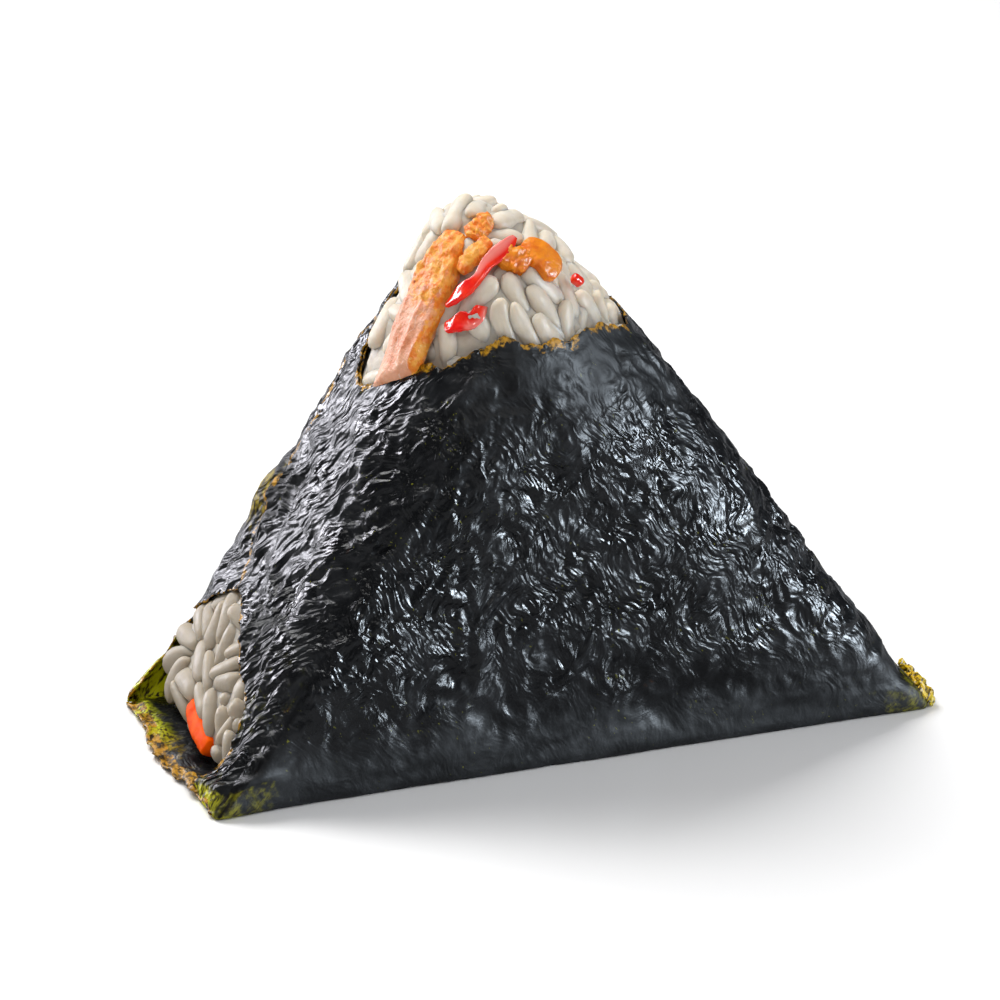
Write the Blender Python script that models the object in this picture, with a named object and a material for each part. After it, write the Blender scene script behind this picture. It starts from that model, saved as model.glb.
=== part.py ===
"""Onigiri: a triangle of pressed rice with salmon and peppers, wrapped in one sheet of nori.

Metres, +Z up. The origin is under the middle of the flat base, +X runs along the
longest side, and the two broad faces look towards -Y and +Y.
"""
import math

import bmesh
import bpy
from mathutils import Vector, noise

MM = 0.001

# The rice ball's outer form, taken over the nori.
BASE_WIDTH = 88.9 * MM          # between the sharp lower corners
THICKNESS = 34.8 * MM           # between the two broad faces
PEAK_HEIGHT = 73.2 * MM         # where the two slanted sides would meet
PEAK_SHIFT = -5.4 * MM          # how far the peak stands left of the middle
FOOT_ROUND = 1.1 * MM           # rounding of the long edges at the base
SHOULDER_ROUND = 17.2 * MM      # and at the shoulder, where the hand has pressed them
SHOULDER_HEIGHT = 55.7 * MM
SOLE_ROUND = 1.7 * MM           # rounding from the base into the faces

# The sheet and its clearances.
NORI_THICKNESS = 0.6 * MM
GAP = 0.3 * MM
CRUMPLE_HEIGHT = 0.4 * MM       # how far a crease stands off the rice
CRUMPLE_LENGTH = 13.0 * MM      # from one crease to the next
LIP_STANDOFF = 2.0 * MM         # the sheet's lower left margin leans away from the rice
TUFT_STANDOFF = 2.8 * MM        # the frayed corner at the lower right
TUFT_FOOT = 1.5 * MM            # how far below the base the curve of that corner starts
MARGIN_START = 35.0 * MM        # distance from the middle where both margins begin
MARGIN_HEIGHT = 11.0 * MM       # and where the left one ends above the base
TUFT_HEIGHT = 8.0 * MM          # and the right one
BULGE_STANDOFF = 1.2 * MM       # a loose fold on the left side, behind its middle
BULGE_CENTRE = Vector((-31.0, 10.5, 29.0)) * MM
BULGE_RADIUS = 6.0 * MM

# Height of the torn upper edge at bearings around the peak, in degrees from +X.
TORN_EDGE = (
    (0, 54.0), (55, 56.0), (120, 56.5), (142, 53.0), (182, 43.2),
    (225, 50.0), (258, 53.0), (282, 52.6), (306, 53.2), (330, 52.0),
)
TEAR_DEPTH = 0.7 * MM           # raggedness of that edge
TEAR_REACH = 60.0 * MM

# Outline of the gap in the left side, in (y, z), where the rice shows.
SIDE_GAP = (
    (15.0, 3.0), (15.6, 7.0), (16.5, 9.0), (16.3, 11.0), (13.2, 13.6), (6.0, 18.2), (2.6, 16.6),
    (-2.4, 12.6), (-6.0, 11.6), (-9.6, 10.0), (-11.4, 3.8), (-8.8, 2.1), (-2.6, 1.7), (6.0, 1.8),
)

# Rice that shows rises between the edges of the sheet.
RICE_INSET = NORI_THICKNESS + GAP
TOP_RISE = 1.2 * MM
TOP_LEAN = 10.0 * MM            # it rises more to the left: nothing extra this far to the right
GAP_RISE = 0.9 * MM
CORNER_REST = 2.2 * MM          # the rice's lower left corner is rounded away by this
CORNER_HEIGHT = 6.0 * MM
EDGE_REST = 1.4 * MM            # it stays low this far from the edges of the sheet
EDGE_RAMP = 3.2 * MM            # and then rises over this width
GRAIN_RELIEF = 1.3 * MM
GRAIN_LENGTH = 4.2 * MM

# Finishes: colour, roughness.
FINISHES = {
    "nori": ((0.012, 0.016, 0.016), 0.32),
    "rice": ((0.80, 0.77, 0.70), 0.45),
    "salmon": ((0.86, 0.36, 0.17), 0.40),
    "red_pepper": ((0.76, 0.03, 0.01), 0.22),
    "orange_pepper": ((0.88, 0.36, 0.03), 0.30),
    "carrot": ((0.90, 0.17, 0.01), 0.35),
}

# Filling pieces that show: path in millimetres along the skin, half widths along it,
# half depth, how far the middle line stands over the rice, finish.
FILLINGS = {
    "salmon_slice": (
        ((-9.8, 0.3, 61.8), (-13.4, -1.5, 57.8), (-16.0, -3.5, 52.8),
         (-18.4, -3.0, 48.6), (-20.2, -1.0, 45.9)),
        (2.1, 3.5, 4.1, 3.0, 1.2), 2.0, 0.2, "salmon"),
    "salmon_lobe": (
        ((-11.6, -4.6, 59.4), (-10.2, -4.6, 60.5), (-8.9, -4.2, 61.5)),
        (0.7, 0.9, 0.8), 1.3, 0.8, "salmon"),
    "salmon_flake": (
        ((-8.0, -2.5, 62.4), (-7.0, -1.0, 62.9), (-6.3, 0.4, 63.2)),
        (0.8, 1.1, 0.9), 1.0, 0.9, "salmon"),
    "red_pepper_strip": (
        ((-4.3, -4.2, 62.9), (-6.6, -5.7, 61.9), (-9.3, -7.3, 59.6),
         (-11.9, -8.0, 56.7), (-13.6, -8.0, 54.6)),
        (1.0, 1.2, 1.2, 1.0, 0.5), 0.8, 1.5, "red_pepper"),
    "red_pepper_fold": (
        ((-14.1, -8.8, 52.8), (-12.8, -9.7, 54.0), (-10.8, -10.4, 56.2)),
        (0.9, 1.2, 0.9), 0.7, 0.7, "red_pepper"),
    "red_pepper_chip": (
        ((1.4, -9.2, 57.9), (3.0, -8.6, 57.0)),
        (0.75, 0.65), 0.7, 0.7, "red_pepper"),
    "orange_piece_rough": (
        ((-6.9, -8.2, 60.7), (-5.6, -8.0, 61.1), (-4.6, -7.6, 61.4)),
        (1.2, 1.5, 1.2), 1.3, 0.5, "orange_pepper"),
    "orange_piece_smooth": (
        ((-2.7, -5.3, 62.1), (-1.5, -7.7, 60.9), (-1.5, -10.0, 59.2)),
        (1.6, 2.1, 1.3), 1.4, 0.5, "orange_pepper"),
    "carrot_stick": (
        ((-41.4, 5.0, 5.4), (-42.1, 0.6, 4.0), (-42.5, -4.6, 3.2)),
        (1.3, 1.6, 1.4), 1.2, -1.0, "carrot"),
}
BLUNTNESS = 4.0                 # how squarely a filling piece ends
SECTION_POWER = 2.6             # 2 is an ellipse, more is boxier

# Mesh fineness.
RING_SIDES = (13, 9)            # cells along a broad face and along a slanted side
NORI_RINGS = 17
RICE_RINGS = 24
SOLE_RINGS = 2


def clamp(value):
    """Hold a value between 0 and 1."""
    return max(0.0, min(1.0, value))


def smooth(value):
    """Ease a value from 0 to 1."""
    value = clamp(value)
    return value * value * (3.0 - 2.0 * value)


def faces_of_form():
    """Outward normal, offset and kind of each face of the sharp-edged form."""
    peak = Vector((PEAK_SHIFT, 0.0, PEAK_HEIGHT))
    faces = [
        (Vector((0, -1, 0)), THICKNESS / 2, "shoulder"),
        (Vector((0, 1, 0)), THICKNESS / 2, "shoulder"),
        (Vector((0, 0, -1)), 0.0, "sole"),
    ]
    for side in (-1, 1):
        corner = Vector((side * BASE_WIDTH / 2, 0.0, 0.0))
        run = peak - corner
        normal = Vector((side * run.z, 0.0, -side * run.x)).normalized()
        faces.append((normal, normal.dot(corner), "shoulder"))
    return faces


FORM = faces_of_form()


def fullness(point, inset):
    """Negative inside the rounded form shrunk by inset, positive outside it."""
    height = clamp(point.z / SHOULDER_HEIGHT)
    shoulder = FOOT_ROUND + (SHOULDER_ROUND - FOOT_ROUND) * height
    total = -1.0
    for normal, offset, kind in FORM:
        radius = (SOLE_ROUND if kind == "sole" else shoulder) - inset
        radius = max(radius, GAP)
        reach = point.dot(normal) - (offset - inset - radius)
        if reach > 0.0:
            total += (reach / radius) ** 2
    return total


def bisect(inside, low, high):
    """Largest value between low and high for which inside(value) still holds."""
    for _ in range(34):
        middle = (low + high) / 2
        if inside(middle):
            low = middle
        else:
            high = middle
    return low


def axis_point(height):
    """Middle of the form's cross-section at a height."""
    return Vector((PEAK_SHIFT * height / PEAK_HEIGHT, 0.0, height))


def skin_point(across, along, height, inset):
    """Point of the skin in a direction given on a unit square, at a height."""
    half_width = BASE_WIDTH / 2 * (1.0 - height / PEAK_HEIGHT)
    ray = Vector((half_width * across, THICKNESS / 2 * along, 0.0))
    middle = axis_point(height)
    reach = bisect(lambda t: fullness(middle + ray * t, inset) < 1e-7, 0.0, 1.0)
    return middle + ray * reach


def skin_normal(point):
    """Outward direction of the skin near a point."""
    step = 0.05 * MM
    slopes = []
    for axis in (Vector((step, 0, 0)), Vector((0, step, 0)), Vector((0, 0, step))):
        slopes.append(fullness(point + axis, 0.0) - fullness(point - axis, 0.0))
    return Vector(slopes).normalized()


def on_skin(point):
    """Nearest point of the skin, looking along its own normal."""
    normal = skin_normal(point)
    reach = 12.0 * MM
    start = point - normal * reach
    return start + normal * bisect(lambda t: fullness(start + normal * t, 0.0) < 0, 0.0, 2 * reach)


def bearing_of(point):
    """Bearing of a point around the peak, in degrees from +X."""
    return math.degrees(math.atan2(point.y, point.x - PEAK_SHIFT)) % 360.0


def torn_edge(bearing):
    """Height of the sheet's upper edge at a bearing."""
    knots = list(TORN_EDGE) + [(TORN_EDGE[0][0] + 360, TORN_EDGE[0][1])]
    for (start, low), (end, high) in zip(knots, knots[1:]):
        if start <= bearing <= end:
            return (low + (high - low) * smooth((bearing - start) / (end - start))) * MM
    return TORN_EDGE[0][1] * MM


def gap_depth(point):
    """How far a point of the left side lies inside the gap in the sheet."""
    outline = [Vector((y * MM, z * MM)) for y, z in SIDE_GAP]
    spot = Vector((point.y, point.z))
    if point.x > -MARGIN_START / 2:
        return -1.0
    inside = False
    nearest = 1.0
    for start, end in zip(outline, outline[1:] + outline[:1]):
        run = end - start
        share = clamp((spot - start).dot(run) / run.length_squared)
        nearest = min(nearest, (spot - start - run * share).length)
        if (start.y > spot.y) != (end.y > spot.y):
            crossing = start.x + run.x * (spot.y - start.y) / run.y
            inside = inside != (spot.x < crossing)
    return nearest if inside else -nearest


def sheet_standoff(point):
    """How far the sheet stands off the rice at a point of the skin."""
    reach = smooth((abs(point.x) - MARGIN_START) / (BASE_WIDTH / 2 - MARGIN_START))
    if point.x < 0:
        margin = LIP_STANDOFF * (1.0 - smooth(point.z / MARGIN_HEIGHT)) * reach
    else:
        rise = clamp((point.z + TUFT_FOOT) / (TUFT_HEIGHT + TUFT_FOOT))
        margin = TUFT_STANDOFF * 4.0 * rise * (1.0 - rise) * reach
    crease = 0.5 + 0.5 * noise.noise(point / CRUMPLE_LENGTH)
    crumple = CRUMPLE_HEIGHT * crease * smooth(point.z / MARGIN_HEIGHT)
    bulge = BULGE_STANDOFF * math.exp(-((point - BULGE_CENTRE).length / BULGE_RADIUS) ** 2)
    return margin + crumple + bulge


def rice_relief(point):
    """How far the rice rises over its pressed face where the sheet leaves it bare."""
    bare = smooth((point.z - torn_edge(bearing_of(point)) - EDGE_REST) / EDGE_RAMP)
    lean = clamp(0.6 - 0.6 * (point.x - PEAK_SHIFT) / TOP_LEAN)
    grain = noise.noise(point / GRAIN_LENGTH) * GRAIN_RELIEF
    side = smooth((gap_depth(point) - EDGE_REST / 2) / EDGE_RAMP)
    corner = smooth((-point.x - MARGIN_START) / (BASE_WIDTH / 2 - MARGIN_START))
    rest = CORNER_REST * corner * (1.0 - smooth(point.z / CORNER_HEIGHT))
    return bare * (TOP_RISE * (0.4 + lean) + grain) + side * (GAP_RISE + grain) - rest


def ring_heights(inset, rings):
    """Heights of the rings from the base to the peak, closer together at both ends."""
    top = bisect(lambda height: fullness(axis_point(height), inset) < 0, MM, PEAK_HEIGHT)
    round_part = SOLE_ROUND - inset / 2
    heights = []
    for step in range(SOLE_RINGS):
        heights.append(inset + round_part * (1.0 - math.cos(math.pi / 2 * step / SOLE_RINGS)))
    first = inset + round_part
    for step in range(rings):
        heights.append(first + (top - first) * math.sin(math.pi / 2 * step / rings))
    return heights


def square_walk(step):
    """Direction of a ring's vertex on the unit square, walking round from the front left."""
    broad, slanted = RING_SIDES
    if step < broad:
        return -1.0 + 2.0 * step / broad, -1.0
    step -= broad
    if step < slanted:
        return 1.0, -1.0 + 2.0 * step / slanted
    step -= slanted
    if step < broad:
        return 1.0 - 2.0 * step / broad, 1.0
    step -= broad
    return -1.0, 1.0 - 2.0 * step / slanted


def finish_mesh(bm, name, material):
    """Turn a bmesh into a named object of one closed shell with its faces out."""
    bmesh.ops.remove_doubles(bm, verts=bm.verts, dist=0.001 * MM)
    rim = [edge for edge in bm.edges if edge.is_boundary]
    if rim:
        bmesh.ops.holes_fill(bm, edges=rim, sides=0)
    bmesh.ops.triangulate(bm, faces=bm.faces)
    bmesh.ops.recalc_face_normals(bm, faces=bm.faces)
    mesh = bpy.data.meshes.new(name)
    bm.to_mesh(mesh)
    bm.free()
    obj = bpy.data.objects.new(name, mesh)
    bpy.context.collection.objects.link(obj)
    if material is None:
        obj.hide_render = True
        obj.display_type = "WIRE"
    else:
        mesh.materials.append(material)
        mesh.shade_smooth()
        mesh.set_sharp_from_angle(angle=math.radians(40))
    return obj


def form_solid(name, inset, rings, rise, material):
    """Closed solid of the rounded form, its skin moved level by rise(point)."""
    heights = ring_heights(inset, rings)
    around = 2 * sum(RING_SIDES)
    bm = bmesh.new()
    bmesh.ops.create_grid(bm, x_segments=around, y_segments=len(heights) - 1, size=0.5)
    for vert in bm.verts:
        step = round((vert.co.x + 0.5) * around) % around
        height = heights[round((vert.co.y + 0.5) * (len(heights) - 1))]
        across, along = square_walk(step)
        point = skin_point(across, along, height, inset)
        away = Vector((point.x - axis_point(height).x, point.y, 0.0)).normalized()
        lifted = skin_normal(point) if point.z > SHOULDER_HEIGHT / 2 else away
        vert.co = point + lifted * rise(point)
    return finish_mesh(bm, name, material)


def opening_cutter():
    """Closed solid over the sheet's torn upper edge."""
    around = 96
    profile = ((2.0 * MM, 0.0), (TEAR_REACH, 0.0), (TEAR_REACH, 1.0), (2.0 * MM, 1.0))
    bm = bmesh.new()
    bmesh.ops.create_grid(bm, x_segments=around, y_segments=len(profile) - 1, size=0.5)
    for vert in bm.verts:
        angle = 2.0 * math.pi * (round((vert.co.x + 0.5) * around) % around) / around
        radius, top = profile[round((vert.co.y + 0.5) * (len(profile) - 1))]
        heading = Vector((math.cos(angle), math.sin(angle), 0.0))
        edge = torn_edge(math.degrees(angle)) + TEAR_DEPTH * noise.noise(heading * 9.0)
        height = 2.0 * PEAK_HEIGHT if top else edge
        vert.co = heading * radius + Vector((PEAK_SHIFT, 0.0, height))
    return finish_mesh(bm, "opening_cutter", None)


def side_gap_cutter():
    """Closed solid through the sheet where its margins leave the left side bare."""
    bm = bmesh.new()
    ring = [bm.verts.new((-1.5 * BASE_WIDTH / 2, y * MM, z * MM)) for y, z in SIDE_GAP]
    cap = bm.faces.new(ring)
    grown = bmesh.ops.extrude_face_region(bm, geom=[cap])
    moved = [item for item in grown["geom"] if isinstance(item, bmesh.types.BMVert)]
    bmesh.ops.translate(bm, verts=moved, vec=(BASE_WIDTH / 2, 0.0, 0.0))
    return finish_mesh(bm, "side_gap_cutter", None)


def along_path(points, share):
    """Point at a share of a smooth path through the given points."""
    last = len(points) - 1
    place = clamp(share) * last
    index = min(int(place), last - 1)
    t = place - index
    a, b, c, d = (points[max(0, min(last, index + k))] for k in (-1, 0, 1, 2))
    return 0.5 * (2 * b + (c - a) * t + (2 * a - 5 * b + 4 * c - d) * t ** 2
                  + (3 * b - a - 3 * c + d) * t ** 3)


def filling(name, grow, material):
    """One piece of filling lying in the skin, or the pocket it needs when grown."""
    path, widths, half_depth, lift, _finish = FILLINGS[name]
    track = [on_skin(Vector(point) * MM) for point in path]
    large = max(widths) > 2.5
    sides, rings = (16, 12) if large else (12, 8)
    bm = bmesh.new()
    bmesh.ops.create_uvsphere(bm, u_segments=sides, v_segments=rings, radius=1.0)
    for vert in bm.verts:
        share = math.acos(max(-1.0, min(1.0, vert.co.z))) / math.pi
        angle = math.atan2(vert.co.y, vert.co.x)
        middle = on_skin(along_path(track, share))
        heading = (along_path(track, share + 0.02) - along_path(track, share - 0.02)).normalized()
        up = skin_normal(middle)
        across = heading.cross(up).normalized()
        end = (1.0 - abs(2.0 * share - 1.0) ** BLUNTNESS) ** (1.0 / BLUNTNESS)
        width = along_path(widths, share) * MM * end + grow * math.sin(math.pi * share) ** 0.3
        depth = half_depth * MM * end + grow * math.sin(math.pi * share) ** 0.3
        flat = math.copysign(abs(math.cos(angle)) ** (2 / SECTION_POWER), math.cos(angle))
        tall = math.copysign(abs(math.sin(angle)) ** (2 / SECTION_POWER), math.sin(angle))
        reach = heading * grow * -math.copysign(1.0, vert.co.z) * abs(vert.co.z) ** 8
        vert.co = middle + up * (lift * MM + depth * tall) + across * width * flat + reach
    label = name if material else name + "_pocket"
    return finish_mesh(bm, label, material)


def cut(target, cutter):
    """Take one closed solid out of another."""
    modifier = target.modifiers.new(cutter.name, "BOOLEAN")
    modifier.operation = "DIFFERENCE"
    modifier.solver = "EXACT"
    modifier.object = cutter


def make_material(name):
    """Principled material of one finish."""
    colour, roughness = FINISHES[name]
    material = bpy.data.materials.new(name)
    material.use_nodes = True
    shader = material.node_tree.nodes["Principled BSDF"]
    shader.inputs["Base Color"].default_value = (*colour, 1.0)
    shader.inputs["Roughness"].default_value = roughness
    shader.inputs["Metallic"].default_value = 0.0
    return material


def build_nori(material):
    """The sheet: a thin crumpled shell, open at the peak and at the lower left."""
    sheet = form_solid("nori_wrap", 0.0, NORI_RINGS, sheet_standoff, material)
    inner = form_solid("nori_inner", NORI_THICKNESS, NORI_RINGS, sheet_standoff, None)
    cut(sheet, inner)
    cut(sheet, opening_cutter())
    cut(sheet, side_gap_cutter())


def build_rice(material):
    """The rice: one solid out to its uneven outline, pocketed for the filling."""
    rice = form_solid("rice_ball", RICE_INSET, RICE_RINGS, rice_relief, material)
    for name in FILLINGS:
        cut(rice, filling(name, GAP, None))


def main():
    """Clear the scene and build every piece."""
    for obj in list(bpy.data.objects):
        bpy.data.objects.remove(obj)
    materials = {name: make_material(name) for name in FINISHES}
    build_nori(materials["nori"])
    build_rice(materials["rice"])
    for name, values in FILLINGS.items():
        filling(name, 0.0, materials[values[-1]])


main()
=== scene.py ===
"""Looks of the onigiri: crumpled nori, real rice grains, flaked salmon, peppers and carrot.

Sizes in the classes are millimetres in the part's own frame (+Z up, base at zero, the broad
faces towards -Y and +Y), and every mesh is brought to metres when it is made.
"""
import logging
import math
from dataclasses import dataclass
from enum import Enum
from itertools import product
from typing import Callable

import bmesh
import bpy
import numpy as np
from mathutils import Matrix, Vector


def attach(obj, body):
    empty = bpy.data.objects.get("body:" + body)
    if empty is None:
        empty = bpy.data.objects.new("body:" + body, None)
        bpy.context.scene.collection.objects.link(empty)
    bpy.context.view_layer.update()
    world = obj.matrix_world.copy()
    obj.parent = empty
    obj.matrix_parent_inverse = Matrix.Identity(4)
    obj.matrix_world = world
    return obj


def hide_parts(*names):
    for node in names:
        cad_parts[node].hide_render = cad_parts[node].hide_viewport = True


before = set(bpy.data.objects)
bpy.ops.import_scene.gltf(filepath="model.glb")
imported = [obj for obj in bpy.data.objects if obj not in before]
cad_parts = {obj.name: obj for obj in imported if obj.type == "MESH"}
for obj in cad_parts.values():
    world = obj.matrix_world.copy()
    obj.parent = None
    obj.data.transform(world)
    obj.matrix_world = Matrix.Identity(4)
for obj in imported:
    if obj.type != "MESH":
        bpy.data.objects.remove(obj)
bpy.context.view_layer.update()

MM = 0.001
LOG = logging.getLogger("onigiri")
Points = np.ndarray
Socket = bpy.types.NodeSocket


# ---------------------------------------------------------------- small numeric helpers

def smooth(value: Points | float) -> Points:
    """Ease values from 0 to 1."""
    value = np.clip(value, 0.0, 1.0)
    return value * value * (3.0 - 2.0 * value)


def unit(vectors: Points) -> Points:
    """Scale vectors to length one."""
    return vectors / np.maximum(np.linalg.norm(vectors, axis=-1, keepdims=True), 1e-9)


def near(points: Points, centre: tuple[float, float, float], radius: float) -> Points:
    """Soft mask that is 1 at a centre and fades out over a radius."""
    return np.exp(-(np.linalg.norm(points - np.array(centre), axis=-1) / radius) ** 2)


def curve_at(knots: Points, share: Points) -> Points:
    """Read a smooth curve through knots.

    Args:
        knots: values along the curve, one row for each knot.
        share: places along it, from 0 to 1.

    Returns:
        One row for each place.
    """
    knots = np.asarray(knots, float)
    last = len(knots) - 1
    place = np.clip(share, 0.0, 1.0) * last
    index = np.minimum(place.astype(int), last - 1)
    t = place - index
    a, b, c, d = (knots[np.clip(index + k, 0, last)] for k in (-1, 0, 1, 2))
    if knots.ndim > 1:
        t = t[:, None]
    return 0.5 * (2 * b + (c - a) * t + (2 * a - 5 * b + 4 * c - d) * t ** 2
                  + (3 * b - a - 3 * c + d) * t ** 3)


class GradientNoise:
    """Smooth seeded noise in space, from about -1 to 1."""

    def __init__(self, seed: int) -> None:
        """Draw the lattice's gradients."""
        draw = np.random.default_rng(seed)
        self.order = np.tile(draw.permutation(256), 3)
        self.slopes = unit(draw.normal(size=(256, 3)))

    def __call__(self, points: Points) -> Points:
        """Value of the noise at each point."""
        cell = np.floor(points).astype(int)
        local = points - cell
        ease = local ** 3 * (local * (local * 6.0 - 15.0) + 10.0)
        total = np.zeros(points.shape[:-1])
        for corner in product((0, 1), repeat=3):
            spot = (cell + corner) & 255
            index = self.order[self.order[self.order[spot[..., 0]] + spot[..., 1]] + spot[..., 2]]
            weight = np.prod(np.where(corner, ease, 1.0 - ease), axis=-1)
            total += weight * ((local - corner) * self.slopes[index]).sum(-1)
        return 1.7 * total

    def layered(self, points: Points, layers: int = 3) -> Points:
        """Several octaves of the noise, each half as strong and twice as fine."""
        return sum(self(points * 2.0 ** k + 7.3 * k) / 2.0 ** k for k in range(layers))


# ---------------------------------------------------------------- the pressed form

@dataclass(frozen=True)
class PressedForm:
    """The rounded triangle that the rice is pressed into, as the CAD part has it."""

    base_width: float = 88.9
    thickness: float = 34.8
    peak_height: float = 73.2
    peak_shift: float = -5.4
    foot_round: float = 1.1
    shoulder_round: float = 17.2
    shoulder_height: float = 55.7
    sole_round: float = 1.7

    def shoulder(self, points: Points) -> Points:
        """Rounding of the long edges at each point's height."""
        height = np.clip(points[..., 2] / self.shoulder_height, 0.0, 1.0)
        return self.foot_round + (self.shoulder_round - self.foot_round) * height

    def planes(self) -> list[tuple[Points, float, bool]]:
        """Outward normal, offset and whether it is the sole, for each flat face."""
        faces = [(np.array((0.0, -1.0, 0.0)), self.thickness / 2, False),
                 (np.array((0.0, 1.0, 0.0)), self.thickness / 2, False),
                 (np.array((0.0, 0.0, -1.0)), 0.0, True)]
        for side in (-1, 1):
            rise, run = self.peak_height, self.peak_shift - side * self.base_width / 2
            normal = unit(np.array((side * rise, 0.0, -side * run)))
            faces.append((normal, normal[0] * side * self.base_width / 2, False))
        return faces

    def fullness(self, points: Points) -> Points:
        """Negative inside the rounded form and positive outside it."""
        total = -np.ones(points.shape[:-1])
        for normal, offset, is_sole in self.planes():
            radius = self.sole_round if is_sole else self.shoulder(points)
            total += (np.maximum(points @ normal - offset + radius, 0.0) / radius) ** 2
        return total

    def distance(self, points: Points) -> Points:
        """Distance from the skin, negative inside."""
        radius = self.shoulder(points)
        reach = np.stack([points @ n - offset + radius for n, offset, _ in self.planes()], -1)
        outside = np.sqrt((np.maximum(reach, 0.0) ** 2).sum(-1))
        return outside + np.minimum(reach.max(-1), 0.0) - radius

    def outward(self, points: Points, of: Callable[[Points], Points] | None = None) -> Points:
        """Outward direction at each point.

        Args:
            points: places near the skin.
            of: field whose slope is taken, the fullness if none is given.

        Returns:
            Unit vectors.
        """
        of = of or self.fullness
        step = 0.05
        return unit(np.stack([of(points + step * axis) - of(points - step * axis)
                              for axis in np.eye(3)], -1))

    def axis(self, heights: Points) -> Points:
        """Middle of the form at each height."""
        shift = self.peak_shift * heights / self.peak_height
        return np.stack([shift, np.zeros_like(heights), heights], -1)

    def skin(self, turn: Points, heights: Points) -> Points:
        """Points of the skin.

        Args:
            turn: way round, 0 to 1 along the front from the left, 1 to 2 along the right
                side, 2 to 3 along the back and 3 to 4 along the left side.
            heights: height of each point.

        Returns:
            The points.
        """
        part = turn % 1.0
        side = np.floor(turn).astype(int) % 4
        across = np.choose(side, (2 * part - 1, 1.0, 1 - 2 * part, -1.0))
        along = np.choose(side, (-1.0, 2 * part - 1, 1.0, 1 - 2 * part))
        half = self.base_width / 2 * (1.0 - heights / self.peak_height)
        ray = np.stack([half * across, self.thickness / 2 * along, np.zeros_like(heights)], -1)
        middle = self.axis(heights)
        low, high = np.zeros_like(heights), np.ones_like(heights)
        for _ in range(26):
            half_way = (low + high) / 2
            inside = self.fullness(middle + ray * half_way[..., None]) < 1e-7
            low, high = np.where(inside, half_way, low), np.where(inside, high, half_way)
        return middle + ray * low[..., None]

    def on_skin(self, points: Points) -> Points:
        """Nearest points of the skin, along its own normals."""
        normals = self.outward(points)
        low, high = np.full(len(points), -12.0), np.full(len(points), 12.0)
        for _ in range(30):
            half_way = (low + high) / 2
            inside = self.fullness(points + normals * half_way[:, None]) < 0.0
            low, high = np.where(inside, half_way, low), np.where(inside, high, half_way)
        return points + normals * low[:, None]

    def climb(self, top: float, step: float) -> Points:
        """Heights evenly spaced along the front face's own profile, up to a height."""
        heights = np.linspace(0.0, top, 900)
        track = self.skin(np.full_like(heights, 0.5), heights)
        run = np.concatenate([[0.0], np.cumsum(np.linalg.norm(np.diff(track, axis=0), axis=1))])
        return np.interp(np.linspace(0.0, run[-1], round(run[-1] / step) + 1), run, heights)


FORM = PressedForm()


@dataclass(frozen=True)
class Openings:
    """Where the sheet leaves the rice bare: torn top and open lower left side."""

    torn: tuple = ((0, 51.0), (55, 54.5), (120, 56.5), (136, 53.0), (174, 43.6), (225, 50.0),
                   (258, 53.0), (282, 52.6), (306, 53.0), (330, 51.0), (360, 51.0))
    front_edge: tuple = ((0, -10.0), (2.1, -9.5), (3.8, -11.4), (10, -9.6), (11.6, -6.0),
                         (12.6, -2.4), (16.6, 2.6), (18.2, 6.0), (23.5, 8.7), (32, 8.5), (60, 8.0))
    back_edge: tuple = ((0, 16.2), (3, 15.4), (7, 15.8), (9, 16.5), (11, 16.3), (13.6, 13.2),
                        (18.2, 6.0), (22, 0.0), (30, -4.0), (60, -6.0))
    sill: float = 1.9

    def torn_height(self, points: Points) -> Points:
        """Height of the torn top edge at each point's bearing round the peak."""
        bearing = np.degrees(np.arctan2(points[..., 1], points[..., 0] - FORM.peak_shift)) % 360.0
        knots = np.array(self.torn, float)
        place = np.interp(bearing, knots[:, 0], np.arange(len(knots)))
        index = np.minimum(place.astype(int), len(knots) - 2)
        low, high = knots[index, 1], knots[index + 1, 1]
        return low + (high - low) * smooth(place - index)

    def front_limit(self, points: Points) -> Points:
        """How far back the front margin reaches over the left side."""
        return np.interp(points[..., 2], *np.array(self.front_edge, float).T)

    def back_limit(self, points: Points) -> Points:
        """How far forward the back margin reaches over the left side."""
        return np.interp(points[..., 2], *np.array(self.back_edge, float).T)

    def side_depth(self, points: Points) -> Points:
        """How deep a point of the left side lies in the opening there, negative outside it."""
        depth = np.minimum(self.back_limit(points) - points[..., 1],
                           points[..., 1] - self.front_limit(points))
        return np.where(points[..., 0] < FORM.peak_shift,
                        np.minimum(depth, points[..., 2] - self.sill), -9.0)


OPENINGS = Openings()


# ---------------------------------------------------------------- meshes

def reshape(bm: bmesh.types.BMesh, move: Callable[[Points], Points]) -> None:
    """Move all of a bmesh's vertices by a function of their positions."""
    start = np.array([vert.co for vert in bm.verts], float)
    for vert, place in zip(bm.verts, move(start)):
        vert.co = place


def set_marks(mesh: bpy.types.Mesh, marks: dict[str, Points]) -> None:
    """Store named values for each vertex of a mesh, which its finish reads."""
    for label, values in marks.items():
        layer = mesh.attributes.new(label, "FLOAT", "POINT")
        layer.data.foreach_set("value", np.asarray(values, np.float32))


def make_piece(bm: bmesh.types.BMesh, name: str, material: bpy.types.Material,
               marks: dict[str, Points] | None = None) -> bpy.types.Object:
    """Turn a bmesh in millimetres into a finished, smooth object in metres.

    Args:
        bm: the mesh, freed here.
        name: the piece's name.
        material: its finish.
        marks: named values for each vertex, which the finish reads.

    Returns:
        The object, at the origin.
    """
    mesh = bpy.data.meshes.new(name)
    bmesh.ops.scale(bm, vec=(MM, MM, MM), verts=bm.verts)
    bm.to_mesh(mesh)
    bm.free()
    set_marks(mesh, marks or {})
    mesh.materials.append(material)
    mesh.shade_smooth()
    piece = bpy.data.objects.new(name, mesh)
    bpy.context.scene.collection.objects.link(piece)
    return piece


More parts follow.
